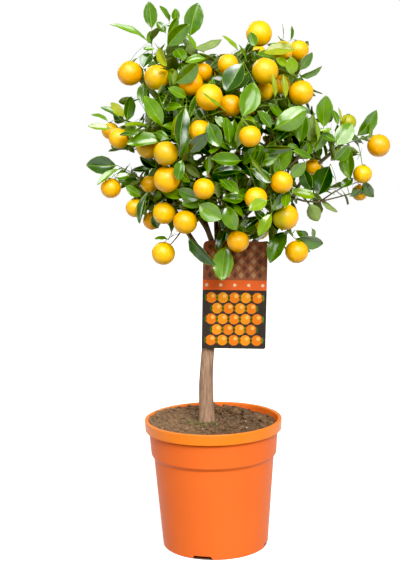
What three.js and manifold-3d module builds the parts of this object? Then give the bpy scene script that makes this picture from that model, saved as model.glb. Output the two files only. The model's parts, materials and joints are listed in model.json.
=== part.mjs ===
// Calamondin orange tree: a small standard tree in an orange plastic pot, with a hang label.
// Millimetres, +Z up, the front faces -Y. The origin is under the middle of the pot, on the ground.
import * as THREE from "three";
import { mergeVertices } from "three/addons/utils/BufferGeometryUtils.js";
import Module from "manifold-3d";

const wasm = await Module();
wasm.setup();

const point = (x, y, z) => new THREE.Vector3(x, y, z);
const clamp = THREE.MathUtils.clamp;
const lerp = THREE.MathUtils.lerp;
const DEGREE = Math.PI / 180;
const UP = point(0, 0, 1);

/* ---------- driving dimensions ---------- */

const SEAT_GAP = 0.3; // between two pieces that rest on each other
const CUT_GAP = 0.4; // a limb's growth before it cuts the next one, so that flat sides keep SEAT_GAP
const SMOOTH = 0.02; // corners closer than this to a joined solid's own face are dropped

// A standard 19 cm grower's pot.
const POT = {
  height: 178,
  rimRadius: 95,
  bandRadius: 94.5,
  bandBottom: 163.5,
  neckRadius: 89,
  neckTop: 157.5,
  shoulderRadius: 87,
  shoulderTop: 130,
  bodyRadius: 83,
  bodyTop: 122,
  footRadius: 73.4,
  wall: 2,
  footRing: 2.8,
  footHeight: 6,
  padRadius: 26,
  sides: 30,
};
const NOTCH = { count: 4, first: -14.5, width: 29, topWidth: 23, height: 5 }; // drains cut in the foot ring

const SOIL = { level: 172, flatRadius: 26, lump: 2.6, leftRise: 6.4, rightDrop: 4 };

// Stem centres and diameters from the flat foot on the soil up to the fork.
const TRUNK = {
  foot: SOIL.level + SEAT_GAP,
  fork: 412,
  centreX: [-9, -9, -7.7, -5.5, 3.5, 16],
  centreZ: [0, 54, 77, 101, 170, 240],
  diameter: 19.6,
  forkDiameter: 15.6,
  flare: 1.9,
  flareHeight: 16,
  flute: 0.035,
  sides: 10,
  steps: 10,
};

// Each bough: what it grows from, how far up that limb, the point it bends past, its tip, and its thickness.
const BOUGHS = {
  leader: { from: "trunk", at: 1, bend: [42, 8, 450], tip: [42, 6, 588], base: 6.2, end: 3.2 },
  left_upper: { from: "trunk", at: 0.955, bend: [-18, 22, 470], tip: [-40, 8, 604], base: 4.8, end: 2.8 },
  left: { from: "trunk", at: 0.91, bend: [-52, 30, 452], tip: [-72, 4, 538], base: 4.6, end: 2.7 },
  left_low: { from: "trunk", at: 0.85, bend: [17, -14, 464], tip: [-62, -16, 488], base: 4.2, end: 2.6 },
  back: { from: "trunk", at: 0.915, bend: [10, 62, 450], tip: [6, 66, 560], base: 4.6, end: 2.7 },
  back_low: { from: "trunk", at: 0.88, bend: [14, 48, 400], tip: [16, 74, 462], base: 4.2, end: 2.6 },
  right: { from: "trunk", at: 0.91, bend: [85, 18, 430], tip: [132, 8, 512], base: 4.6, end: 2.7 },
  right_low: { from: "trunk", at: 0.84, bend: [64, 8, 396], tip: [94, 2, 428], base: 3.8, end: 2.4 },
  right_upper: { from: "leader", at: 0.42, bend: [84, 28, 540], tip: [96, 18, 610], base: 3.6, end: 2.4 },
  right_front: { from: "leader", at: 0.3, bend: [88, -18, 480], tip: [98, -36, 548], base: 3.8, end: 2.4 },
  front: { from: "leader", at: 0.42, bend: [18, -46, 508], tip: [14, -46, 572], base: 3.6, end: 2.4 },
  front_low: { from: "leader", at: 0.22, bend: [34, -34, 456], tip: [22, -46, 474], base: 3.4, end: 2.4 },
};

const BOUGH_SIDES = 5;
const BOUGH_STEPS = 4;

// Each mass of foliage: the bough that carries it, its heart, and how far its own shoots reach.
const MASSES = {
  crest_left: { bough: "left_upper", heart: [-70, -15, 671], reach: 40 },
  crest_centre: { bough: "left_upper", heart: [-34, -15, 668], reach: 46 },
  upper_left: { bough: "left_upper", heart: [-40, -45, 618], reach: 50 },
  crown_top: { bough: "leader", heart: [55, -25, 645], reach: 46 },
  crest_right: { bough: "right_upper", heart: [104, 10, 655], reach: 38 },
  upper_right: { bough: "right_upper", heart: [112, -30, 630], reach: 38 },
  top_front: { bough: "leader", heart: [73, -62, 605], reach: 46 },
  front_upper: { bough: "front", heart: [30, -78, 588], reach: 50 },
  left_shoulder: { bough: "left", heart: [-100, -5, 578], reach: 38 },
  left_front: { bough: "left", heart: [-66, -52, 580], reach: 48 },
  centre_left: { bough: "front", heart: [-20, -78, 580], reach: 48 },
  left_tip: { bough: "left_low", heart: [-102, -20, 519], reach: 28 },
  left_low: { bough: "left_low", heart: [-80, -22, 488], reach: 38 },
  left_mid: { bough: "left_low", heart: [-52, -55, 527], reach: 46 },
  left_foot: { bough: "left_low", heart: [-38, -42, 468], reach: 38 },
  front_low_left: { bough: "front_low", heart: [8, -76, 494], reach: 46 },
  front_mid: { bough: "front", heart: [40, -88, 540], reach: 50 },
  front_low: { bough: "front_low", heart: [38, -42, 450], reach: 38 },
  front_right: { bough: "right_front", heart: [84, -78, 562], reach: 48 },
  right_low: { bough: "right_front", heart: [84, -66, 492], reach: 46 },
  right_upper: { bough: "right_front", heart: [138, -28, 573], reach: 42 },
  right_shoulder: { bough: "right", heart: [183, -3, 554], reach: 34 },
  right_arm: { bough: "right", heart: [158, -8, 490], reach: 34 },
  right_foot: { bough: "right_low", heart: [109, -22, 439], reach: 36 },
  back_crest: { bough: "back", heart: [-22, 42, 650], reach: 54 },
  back_top: { bough: "leader", heart: [44, 38, 655], reach: 54 },
  back_left_upper: { bough: "back", heart: [-66, 58, 600], reach: 56 },
  back_centre: { bough: "back", heart: [10, 92, 590], reach: 58 },
  back_right_upper: { bough: "right_upper", heart: [92, 66, 602], reach: 58 },
  back_low: { bough: "back_low", heart: [16, 92, 506], reach: 56 },
  back_left: { bough: "back_low", heart: [-70, 54, 520], reach: 56 },
  back_right: { bough: "right", heart: [108, 56, 516], reach: 58 },
  back_foot: { bough: "back_low", heart: [60, 48, 452], reach: 44 },
};

// Leaves that draw the crown's outline and its face: base, tip, and the turn of the face from the front.
const SPRIGS = [
  [[-70, -20, 704], [-73, -22, 741], 10],
  [[-74, -28, 688], [-123, -38, 711], 50],
  [[-47, -5, 714], [-60, 0, 738], 60],
  [[-39, -5, 714], [-39, -8, 733], 20],
  [[-21, -18, 693], [-9, -20, 738], 10],
  [[-51, -45, 679], [-21, -55, 708], 15],
  [[-19, -20, 676], [21, -15, 687], 130],
  [[-41, -94, 631], [-10, -104, 655], 20],
  [[-56, -78, 577], [-79, -85, 617], 15],
  [[-56, -80, 559], [-103, -85, 557], 35],
  [[-116, -5, 590], [-143, 5, 607], 40],
  [[-109, -15, 592], [-127, -20, 612], 10],
  [[-103, -8, 587], [-98, -6, 619], 30],
  [[-131, -12, 586], [-155, -8, 597], 55],
  [[-126, -15, 577], [-158, -22, 582], 40],
  [[-26, -112, 605], [-34, -130, 552], 10],
  [[-24, -109, 545], [1, -133, 570], 20],
  [[-119, -25, 526], [-161, -30, 528], 25],
  [[-114, -38, 525], [-145, -52, 505], 50],
  [[-89, -35, 487], [-109, -40, 503], 15],
  [[-78, -48, 497], [-91, -58, 454], 45],
  [[-54, -40, 430], [-73, -42, 432], 60],
  [[-29, -50, 438], [7, -62, 398], 40],
  [[-14, -95, 481], [16, -108, 462], 10],
  [[22, -47, 424], [15, -58, 377], 5],
  [[23, -42, 447], [10, -44, 414], 40],
  [[101, -40, 435], [75, -52, 397], 35],
  [[112, -20, 428], [153, -15, 419], 35],
  [[130, -12, 474], [142, -15, 448], 180],
  [[149, -5, 479], [174, 0, 460], 130],
  [[204, -10, 494], [215, -14, 473], 40],
  [[188, -22, 548], [187, -34, 506], 40],
  [[153, -28, 571], [156, -30, 615], 20],
  [[178, -5, 579], [176, 0, 600], 60],
  [[167, -30, 548], [189, -38, 578], 10],
  [[197, -8, 560], [225, -12, 595], 25],
  [[43, -25, 673], [22, -25, 695], 50],
  [[53, -32, 659], [43, -38, 682], 55],
  [[72, -50, 669], [112, -76, 671], 35],
  [[102, -5, 689], [102, -5, 710], 88],
  [[113, 8, 689], [115, 10, 709], 70],
  [[118, -35, 647], [138, -38, 670], 30],
  [[119, -25, 641], [152, -22, 653], 50],
  [[42, -108, 586], [59, -112, 629], 5],
  [[24, -131, 594], [-6, -149, 618], 60],
  [[81, -95, 571], [125, -95, 598], 20],
  [[43, -110, 534], [4, -122, 537], 20],
  [[50, -115, 544], [76, -128, 507], 50],
  [[74, -124, 485], [49, -137, 474], 15],
  [[80, -98, 468], [62, -105, 439], 15],
];

// Fruit on the front and the sides: centre and radius.
const FRUIT = [
  [-100, -30, 649, 15.9],
  [-64, -50, 642, 16.1],
  [-20, -75, 632, 15.2],
  [3, -115, 613, 16.4],
  [-4, -36, 648, 11.7],
  [28, -60, 656, 12.8],
  [70, -20, 697, 16.6],
  [99, -45, 672, 12.9],
  [122, -12, 675, 13.2],
  [74, -85, 645, 16.3],
  [96, -34, 630, 12.9],
  [121, -62, 618, 15.4],
  [75, -52, 621, 11.6],
  [-116, -40, 565, 13.3],
  [-131, 8, 575, 11.4],
  [-77, -60, 554, 15.5],
  [-53, -100, 545, 15.1],
  [-9, -110, 572, 13.4],
  [52, -135, 564, 13.2],
  [30, -85, 603, 13.9],
  [-53, -85, 512, 16.6],
  [-6, -105, 500, 13.3],
  [-129, -35, 500, 13.2],
  [-98, -30, 473, 12.4],
  [-59, -55, 467, 14.4],
  [-31, -75, 456, 15.2],
  [-62, -35, 412, 15.3],
  [92, -105, 506, 13.8],
  [59, -110, 487, 13.8],
  [98, -75, 460, 16.7],
  [37, -66, 429, 14],
  [115, -40, 411, 15],
  [228, -10, 548, 14.9],
  [205, -20, 511, 12.3],
  [205, 8, 485, 10.8],
  [142, 10, 521, 10.8],
  [-77, -10, 454, 12.1],
  [-78, -30, 504, 11.3],
  [191, 20, 580, 10.9],
];
const BACK_FRUIT = { perMass: 2, radius: [11.5, 15.5], depth: 0.82 }; // on masses behind the trunk, by rule

// Sky seen through the crown from the front: place at the middle of the crown, and radius.
const GAPS = [
  [47, 628, 6],
  [64, 454, 9],
  [6, 446, 9],
  [-91, 604, 8],
  [-68, 632, 5],
  [-55, 696, 7],
  [135, 494, 6],
  [169, 552, 5],
  [-93, 534, 12],
];

const FRONT = point(0, -1515, 565); // where a person stands to look at the tree
const MIDDLE = point(20, 0, 555); // middle of the crown
const CROWN_HALF_DEPTH = 150;
const VIEW = { reach: 70, share: 0.6, step: 6 }; // how far before a fruit, and how wide of it, stays open

// A mass's stem leaves its bough near the tip, and the stem of each further mass a step lower.
const STEM = { base: 2.4, sides: 4, first: 0.985, step: 0.13, shares: [0.45, 0.6, 0.74, 0.87, 1] };
const TWIG = {
  base: 1.5,
  share: 0.9, // thickest, of the limb it leaves
  root: 0.42, // of that limb, where it starts inside it
  taper: 0.2,
  end: 0.35, // of its base
  sides: 3,
  steps: 2,
  shares: [0.25, 0.5, 0.72], // places where another twig may leave it
  apart: 4, // between two twigs' starts
};
const STALK = { base: 1.1, lift: 7, sink: 2.2 };
const SHOOTS = {
  perMass: 6, // twigs in all, with those of its sprigs and fruit
  least: 2, // that fill its space
  tries: 12, // ways to bend
  bend: 0.12, // more with each try, of its length
  reaches: [0.8, 0.6, 0.42], // of the mass's reach, tried in turn
  shortest: 14,
};
const LEAF = {
  lengths: [36, 52],
  width: 0.5, // of its length
  fold: 0.045, // depth of the fold along the midrib, of its length
  root: 0.6, // how deep it stands in the end of its twig
  shoulder: 0.3, // widest from here ...
  tail: 0.68, // ... to here, along its length
  onTwig: [0.15, 1], // where along a twig it may stand
  onStem: [0.4, 1],
  onStalk: [0.15, 0.7],
  spacing: 10,
  apart: 2.2, // from another twig's start
  tries: 14,
  shrink: 0.03, // with each try
  endSpread: 12, // degrees from its twig's way, at the twig's end ...
  spread: [38, 72], // ... and along it
  turn: 137.5, // degrees round the twig from one leaf to the next
  sway: 50, // degrees that its face may turn from up and outwards
};
const FRUIT_SHAPE = { around: 7, along: 4, squat: 0.94 };

const BEAD_STEP = 3; // between the balls that stand for a limb

// Clear space that each thing keeps to what is already there, and to its own twig's wood and leaves.
const CLEAR = { space: 0.8, limb: 1, fruit: 1.5, leaf: 2.2, ownLimb: 0.4, ownLeaf: 0.5, root: 9, past: 8 };

const CARD = {
  width: 87,
  height: 147,
  thickness: 0.8,
  corner: 7,
  tilt: 2.1,
  centre: [32.3, -14, 351],
  holeRadius: 3,
  holeDrop: 8,
  beadStep: 8,
  clear: 6, // kept free of leaves on both sides
};
const TIE = { radius: 0.9, sides: 4, share: 0.13, slack: 2.6, lift: 1.7 };

const COLOURS = {
  pot: 0xff7a28,
  soil: 0x4d3a2c,
  bark: 0x7a6148,
  bough: 0x5d5138,
  leaf: 0x3f8f22,
  card: 0xc8552f,
  tie: 0x2f6b3a,
};

/* ---------- chance that repeats ---------- */

// Keys that keep the throws for one kind of thing apart from those for another.
const KEYS = { backFruit: 80, stalk: 400, shoot: 500, sprig: 700, stem: 900 };

// A number from 0 to 1 that depends only on the whole numbers given.
function dice(...keys) {
  let h = 0x2545f491;
  for (const key of keys) {
    h = Math.imul(h ^ (key + 0x9e3779b9), 0x85ebca6b);
    h ^= h >>> 13;
    h = Math.imul(h, 0xc2b2ae35);
    h ^= h >>> 16;
  }
  return (h >>> 0) / 4294967296;
}

/* ---------- solids ---------- */

// A closed three.js geometry as a manifold-3d solid.
function solidOf(geometry) {
  const bare = geometry.clone();
  bare.deleteAttribute("normal");
  bare.deleteAttribute("uv");
  const merged = mergeVertices(bare, 1e-4);
  const faces = [];
  for (let i = 0; i < merged.index.count; i += 3) {
    const [a, b, c] = [0, 1, 2].map((k) => merged.index.getX(i + k));
    if (a !== b && b !== c && a !== c) faces.push(a, b, c);
  }
  const vertices = new Float32Array(merged.attributes.position.array);
  return new wasm.Manifold(
    new wasm.Mesh({ numProp: 3, vertProperties: vertices, triVerts: new Uint32Array(faces) }),
  );
}

// The largest outer shell of a joined solid, without needless corners: scraps are dropped and sealed
// hollows are filled.
function oneBody(solid) {
  const largest = solid.decompose().sort((a, b) => b.volume() - a.volume())[0];
  return largest.asOriginal().simplify(SMOOTH);
}

function meshOf(name, solid, colour, roughness) {
  const made = solid.getMesh();
  const places = new Float32Array(made.numVert * 3);
  for (let i = 0; i < made.numVert; i++)
    places.set(made.vertProperties.subarray(i * made.numProp, i * made.numProp + 3), i * 3);
  const geometry = new THREE.BufferGeometry()
    .setAttribute("position", new THREE.BufferAttribute(places, 3))
    .setIndex(new THREE.BufferAttribute(made.triVerts, 1));
  geometry.computeVertexNormals();
  const material = new THREE.MeshStandardMaterial({ color: colour, roughness, metalness: 0 });
  const mesh = new THREE.Mesh(geometry, material);
  mesh.name = name;
  return mesh;
}

/* ---------- limbs ---------- */

// A limb is a row of points along its middle with a radius at each.
function limbAlong(curve, steps, radiusAt) {
  const points = [];
  const radii = [];
  for (let k = 0; k <= steps; k++) {
    points.push(curve.getPoint(k / steps));
    radii.push(radiusAt(k / steps));
  }
  return { points, radii };
}

function placeOn(limb, share) {
  const at = clamp(share, 0, 1) * (limb.points.length - 1);
  const k = Math.min(Math.floor(at), limb.points.length - 2);
  return {
    at: limb.points[k].clone().lerp(limb.points[k + 1], at - k),
    radius: lerp(limb.radii[k], limb.radii[k + 1], at - k),
    along: limb.points[k + 1].clone().sub(limb.points[k]).normalize(),
  };
}

function lengthOf(limb) {
  let sum = 0;
  for (let k = 1; k < limb.points.length; k++) sum += limb.points[k].distanceTo(limb.points[k - 1]);
  return sum;
}

// A cylinder bent along the limb, with its own radius at each point. swell(angle) shapes its section,
// and grow makes it that much thicker and longer at both ends.
function tube(limb, sides, grow = 0, swell = () => 1) {
  const last = limb.points.length - 1;
  const geometry = new THREE.CylinderGeometry(1, 1, last, sides, last);
  const frames = [];
  let side = Math.abs(placeOn(limb, 0).along.z) < 0.9 ? UP.clone() : point(1, 0, 0);
  for (let k = 0; k <= last; k++) {
    const before = limb.points[Math.max(k - 1, 0)];
    const after = limb.points[Math.min(k + 1, last)];
    const along = after.clone().sub(before).normalize();
    side = side.clone().addScaledVector(along, -side.dot(along)).normalize();
    frames.push({ along, side, third: side.clone().cross(along) });
  }
  const places = geometry.attributes.position;
  for (let i = 0; i < places.count; i++) {
    const [x, y, z] = [places.getX(i), places.getY(i), places.getZ(i)];
    const k = Math.round(y + last / 2);
    const { along, side: first, third } = frames[k];
    const radius = (limb.radii[k] + grow) * swell(Math.atan2(z, x), k / last);
    const end = k === 0 ? -grow : k === last ? grow : 0;
    const place = limb.points[k]
      .clone()
      .addScaledVector(along, end)
      .addScaledVector(first, x * radius)
      .addScaledVector(third, z * radius);
    places.setXYZ(i, place.x, place.y, place.z);
  }
  return solidOf(geometry);
}

/* ---------- pot, soil and trunk ---------- */

function lathe(profile, sides) {
  const points = profile.map(([radius, z]) => new THREE.Vector2(radius, z));
  return new THREE.LatheGeometry(points, sides).rotateX(Math.PI / 2);
}

// The inside of the pot from its middle out and up to the lip.
function potInside(gap) {
  const { wall, footHeight, padRadius } = POT;
  return [
    [0, wall + gap],
    [padRadius - wall - gap, wall + gap],
    [padRadius + 1 - gap, footHeight + wall + gap],
    [POT.footRadius - wall - gap, footHeight + wall + gap],
    [POT.bodyRadius - wall - gap, POT.bodyTop],
    [POT.neckRadius - wall - gap, POT.neckTop],
    [POT.bandRadius - wall - gap, POT.bandBottom],
  ];
}

function pot() {
  const { footRing, footHeight, padRadius } = POT;
  const outside = [
    [0, 0],
    [padRadius, 0],
    [padRadius + 3, footHeight],
    [POT.footRadius - footRing, footHeight],
    [POT.footRadius - footRing, 0],
    [POT.footRadius, 0],
    [POT.bodyRadius, POT.bodyTop],
    [POT.shoulderRadius, POT.shoulderTop],
    [POT.neckRadius, POT.neckTop],
    [POT.bandRadius, POT.bandBottom],
    [POT.rimRadius, POT.height],
    [POT.rimRadius - 2, POT.height],
  ];
  let solid = solidOf(lathe([...outside, ...potInside(0).reverse()], POT.sides));
  for (let k = 0; k < NOTCH.count; k++) {
    const wedge = new THREE.CylinderGeometry(
      NOTCH.topWidth / Math.SQRT2,
      NOTCH.width / Math.SQRT2,
      2 * NOTCH.height,
      4,
    );
    wedge.rotateY(45 * DEGREE).scale(1, 0.5, 0.5).rotateX(90 * DEGREE);
    wedge.translate(0, -POT.footRadius, NOTCH.height / 2 - 0.001);
    wedge.rotateZ((NOTCH.first + (k * 360) / NOTCH.count) * DEGREE);
    solid = solid.subtract(solidOf(wedge));
  }
  return solid;
}

// Height of the soil: flat round the trunk, and a little lumpy beyond, where it is heaped to the left
// and lower on the right.
function soilHeight(x, y) {
  const out = clamp((Math.hypot(x, y) - SOIL.flatRadius) / SOIL.flatRadius, 0, 1);
  const lumps = Math.sin(x * 0.19 + 1.3) * Math.cos(y * 0.23) + 0.6 * Math.sin(x * 0.41 - y * 0.37);
  const side = (y * 0.25 - x) / POT.rimRadius;
  const rise = side * (side > 0 ? SOIL.leftRise : SOIL.rightDrop);
  return SOIL.level + out * (rise + SOIL.lump * lumps * 0.6 - 1.5);
}

function soil() {
  const inside = potInside(SEAT_GAP);
  const edge = POT.bandRadius - POT.wall - SEAT_GAP;
  const rings = [edge, 70, 46, SOIL.flatRadius, 0];
  const profile = [...inside, ...rings.map((radius) => [radius, SOIL.level])];
  const geometry = lathe(profile, POT.sides);
  const places = geometry.attributes.position;
  for (let i = 0; i < places.count; i++)
    if (Math.abs(places.getZ(i) - SOIL.level) < 1e-3)
      places.setZ(i, soilHeight(places.getX(i), places.getY(i)));
  return solidOf(geometry);
}

function trunkLimb() {
  const { centreX, centreZ, foot, fork } = TRUNK;
  const curve = new THREE.CatmullRomCurve3(centreX.map((x, k) => point(x, 0, foot + centreZ[k])));
  const height = fork - foot;
  return limbAlong(curve, TRUNK.steps, (share) => {
    const flare = TRUNK.flare * Math.exp((-share * height) / TRUNK.flareHeight);
    return lerp(TRUNK.diameter, TRUNK.forkDiameter, share) / 2 + flare;
  });
}

// A few broad flutes run up the bark, and fade towards the fork.
const fluted = (angle, share) => 1 + TRUNK.flute * (1 - share) * Math.sin(3 * angle + 2 * share + 0.5);

function boughLimb(bough, parent) {
  const start = placeOn(parent, bough.at).at;
  const curve = new THREE.QuadraticBezierCurve3(start, point(...bough.bend), point(...bough.tip));
  return limbAlong(curve, BOUGH_STEPS, (share) => lerp(bough.base, bough.end, share));
}

/* ---------- label ---------- */

function cardFrame(geometry) {
  geometry.rotateX(90 * DEGREE).rotateY(CARD.tilt * DEGREE);
  return geometry.translate(...CARD.centre);
}

function card() {
  const [w, h, r] = [CARD.width / 2, CARD.height / 2, CARD.corner];
  const shape = new THREE.Shape();
  shape.moveTo(-w, -h);
  shape.lineTo(w, -h);
  shape.lineTo(w, h - r);
  shape.absarc(w - r, h - r, r, 0, 90 * DEGREE);
  shape.lineTo(-w + r, h);
  shape.absarc(-w + r, h - r, r, 90 * DEGREE, 180 * DEGREE);
  const hole = new THREE.Path();
  hole.absarc(0, h - CARD.holeDrop, CARD.holeRadius, 0, 360 * DEGREE, true);
  shape.holes.push(hole);
  const geometry = new THREE.ExtrudeGeometry(shape, {
    depth: CARD.thickness,
    bevelEnabled: false,
    curveSegments: 4,
  });
  return solidOf(cardFrame(geometry.translate(0, 0, -CARD.thickness / 2)));
}

// Where the tie runs through the card: it bears on the upper edge of the hole.
function tieHole() {
  const mark = new THREE.BufferGeometry().setFromPoints([
    point(0, CARD.height / 2 - CARD.holeDrop + TIE.lift, 0),
  ]);
  return new THREE.Vector3().fromBufferAttribute(cardFrame(mark).attributes.position, 0);
}

// A thin ring through the card's hole and round the leader, in two strands that meet in the hole
// and behind the leader.
function tie(leader) {
  const { at: spot, radius } = placeOn(leader, TIE.share);
  const flat = radius * Math.cos(Math.PI / BOUGH_SIDES);
  const clear = flat + TIE.radius + SEAT_GAP;
  const from = (origin, x, y, z) => origin.clone().add(point(x, y, z));
  const hole = tieHole();
  const strands = [
    [
      from(spot, 2, clear, -1),
      from(spot, -4.5, clear, 1),
      from(spot, -clear - 2, 0, 3),
      from(spot, -clear, -clear + 1, 2),
      from(hole, -2, TIE.slack, 1),
      from(hole, 0, 1.6, 0),
      from(hole, 0, -0.6, 0),
    ],
    [
      from(hole, 0, 0.6, 0),
      from(hole, 0, -TIE.slack, 0),
      from(hole, 2, -TIE.slack, CARD.holeDrop),
      from(hole, 4, 1, CARD.holeDrop + 2),
      from(spot, clear + 2.5, 0, -2),
      from(spot, 4.5, clear, -1.5),
      from(spot, 0, clear, -0.5),
    ],
  ];
  const limbs = strands.map((points) => ({ points, radii: points.map(() => TIE.radius) }));
  return oneBody(wasm.Manifold.union(limbs.map((limb) => tube(limb, TIE.sides))));
}

/* ---------- leaves ---------- */

// A leaf as a flat plate: where it stands, its own axes and its size.
function leafAt(base, tip, face, width) {
  const along = tip.clone().sub(base);
  const length = along.length();
  along.divideScalar(length);
  const up = face.clone().addScaledVector(along, -face.dot(along)).normalize();
  return { base, along, up, across: up.clone().cross(along), length, width };
}

function halfWidth(leaf, u) {
  const share = u / leaf.length;
  return (leaf.width / 2) * Math.min(1, share / LEAF.shoulder, (1 - share) / (1 - LEAF.tail));
}

function onLeaf(leaf, share, side, lift = 0) {
  const u = share * leaf.length;
  return leaf.base
    .clone()
    .addScaledVector(leaf.along, u)
    .addScaledVector(leaf.across, side * halfWidth(leaf, u))
    .addScaledVector(leaf.up, lift);
}

function distanceToLeaf(leaf, place) {
  const d = place.clone().sub(leaf.base);
  const u = clamp(d.dot(leaf.along), 0, leaf.length);
  const half = halfWidth(leaf, u);
  const v = clamp(d.dot(leaf.across), -half, half);
  return d.addScaledVector(leaf.along, -u).addScaledVector(leaf.across, -v).length();
}

// Points round the edge of a leaf and down its midrib.
function leafPoints(leaf) {
  const points = [leaf.base, onLeaf(leaf, 1, 0)];
  for (const share of [0.15, LEAF.shoulder, 0.42, 0.55, LEAF.tail, 0.85])
    points.push(onLeaf(leaf, share, 1), onLeaf(leaf, share, -1));
  for (const share of [0.3, 0.5, 0.7]) points.push(onLeaf(leaf, share, 0));
  return points;
}

// Whether an edge of leaf a passes through leaf b.
function pierces(a, b) {
  const rim = [
    [0, 0],
    [LEAF.shoulder, 1],
    [LEAF.tail, 1],
    [1, 0],
    [LEAF.tail, -1],
    [LEAF.shoulder, -1],
  ].map(([share, side]) => onLeaf(a, share, side));
  const edges = rim.map((start, k) => [start, rim[(k + 1) % rim.length]]);
  edges.push([rim[0], rim[3]]);
  return edges.some(([start, end]) => {
    const h0 = start.clone().sub(b.base).dot(b.up);
    const h1 = end.clone().sub(b.base).dot(b.up);
    if (h0 * h1 >= 0) return false;
    const d = start.clone().lerp(end, h0 / (h0 - h1)).sub(b.base);
    const u = d.dot(b.along);
    return u > 0 && u < b.length && Math.abs(d.dot(b.across)) < halfWidth(b, u);
  });
}

// The leaf's solid: a shallow wedge of eight faces, folded down along its midrib.
function leafSolid(leaf) {
  const lift = LEAF.fold * leaf.length;
  const corners = [
    leaf.base,
    onLeaf(leaf, LEAF.shoulder, 1, lift),
    onLeaf(leaf, LEAF.tail, 1, lift),
    onLeaf(leaf, 1, 0),
    onLeaf(leaf, LEAF.tail, -1, lift),
    onLeaf(leaf, LEAF.shoulder, -1, lift),
  ];
  const faces = [0, 5, 1, 1, 5, 4, 1, 4, 2, 2, 4, 3, 0, 1, 2, 0, 2, 3, 0, 3, 4, 0, 4, 5];
  return solidOf(new THREE.BufferGeometry().setFromPoints(corners).setIndex(faces));
}

/* ---------- the crown ---------- */

// What stands in the crown so far. A bead is a ball: limbs, twigs and the card are rows of beads.
const crown = { beads: [], leaves: [], fruit: [], views: [], masses: [] };

function beadsOf(limb) {
  const count = Math.ceil(lengthOf(limb) / BEAD_STEP);
  return Array.from({ length: count + 1 }, (_, k) => placeOn(limb, k / count));
}

const addBeads = (limb, owner) => crown.beads.push(...beadsOf(limb).map((bead) => ({ ...bead, owner })));

// Halfway planes to every other mass close in the space that a mass keeps to.
function spacesOf(masses) {
  for (const mass of masses)
    mass.walls = masses
      .filter((other) => other !== mass)
      .map((other) => ({
        middle: mass.heart.clone().lerp(other.heart, 0.5),
        out: other.heart.clone().sub(mass.heart).normalize(),
      }));
}

const insideSpace = (mass, place, margin) =>
  mass.walls.every(({ middle, out }) => place.clone().sub(middle).dot(out) < -margin);

const massAt = (place) =>
  crown.masses.reduce((a, b) => (b.heart.distanceTo(place) < a.heart.distanceTo(place) ? b : a));

// Lines of sight that stay open: to each front fruit, and through each gap of the crown.
function openViews() {
  for (const fruit of crown.fruit.filter((f) => f.front)) {
    const out = FRONT.clone().sub(fruit.at).normalize();
    for (let d = fruit.radius; d < VIEW.reach; d += VIEW.step)
      crown.views.push({ at: fruit.at.clone().addScaledVector(out, d), radius: fruit.radius * VIEW.share });
  }
  for (const [x, z, radius] of GAPS) {
    const through = point(x, 0, z).sub(FRONT).normalize();
    for (let d = -CROWN_HALF_DEPTH; d <= CROWN_HALF_DEPTH; d += VIEW.step)
      crown.views.push({ at: point(x, 0, z).addScaledVector(through, d), radius });
  }
}

// Whether a twig would stand clear of everything else, save the wood it grows from. It may leave its
// mass's space only on the way to a sprig or a fruit.
function limbFits(limb, mass, { bounded = true, fruit = null, leaf = null } = {}) {
  return beadsOf(limb).every(({ at, radius }) => {
    const fresh = at.distanceTo(limb.points[0]) < CLEAR.root;
    const joined = (bead) => fresh && (bead.owner === mass || bead.owner === mass.bough);
    const leafGap = (other) => (other.mass === mass ? CLEAR.ownLeaf : CLEAR.leaf);
    const near = (ball) => at.distanceTo(ball.at) < ball.radius + radius + CLEAR.limb;
    return (
      (!bounded || insideSpace(mass, at, radius + CLEAR.space)) &&
      !crown.fruit.some((ball) => ball !== fruit && near(ball)) &&
      !crown.beads.some((bead) => !joined(bead) && near(bead)) &&
      !crown.leaves.some((other) => other !== leaf && distanceToLeaf(other, at) < radius + leafGap(other))
    );
  });
}

function leafFits(leaf, mass, { bounded = true } = {}) {
  const points = leafPoints(leaf);
  if (bounded) {
    if (!points.every((place) => insideSpace(mass, place, CLEAR.space))) return false;
    const tip = points[1];
    if (tip.distanceTo(mass.heart) > mass.reach + CLEAR.past) return false;
    for (const view of crown.views) if (distanceToLeaf(leaf, view.at) < view.radius) return false;
  }
  const centre = onLeaf(leaf, 0.5, 0);
  for (const ball of crown.fruit)
    if (centre.distanceTo(ball.at) < leaf.length + ball.radius)
      if (distanceToLeaf(leaf, ball.at) < ball.radius + CLEAR.fruit) return false;
  for (const bead of crown.beads) {
    if (centre.distanceTo(bead.at) > leaf.length + bead.radius) continue;
    const own = bead.owner === mass;
    if (own && bead.at.distanceTo(leaf.base) < CLEAR.root) continue;
    if (distanceToLeaf(leaf, bead.at) < bead.radius + (own ? CLEAR.ownLimb : CLEAR.limb)) return false;
  }
  for (const other of crown.leaves) {
    if (centre.distanceTo(onLeaf(other, 0.5, 0)) > (leaf.length + other.length) / 2 + CLEAR.leaf) continue;
    if (pierces(leaf, other) || pierces(other, leaf)) return false;
    if (other.mass === mass) continue;
    if (points.some((place) => distanceToLeaf(other, place) < CLEAR.leaf)) return false;
    if (leafPoints(other).some((place) => distanceToLeaf(leaf, place) < CLEAR.leaf)) return false;
  }
  return true;
}

// A twig's thickness along it: slim where it starts inside its parent, then tapering.
function twigRadius(share, base, start) {
  if (share === 0) return Math.min(base, start.radius * TWIG.root);
  return base * (share < 1 ? 1 - TWIG.taper * share : TWIG.end);
}

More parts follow.
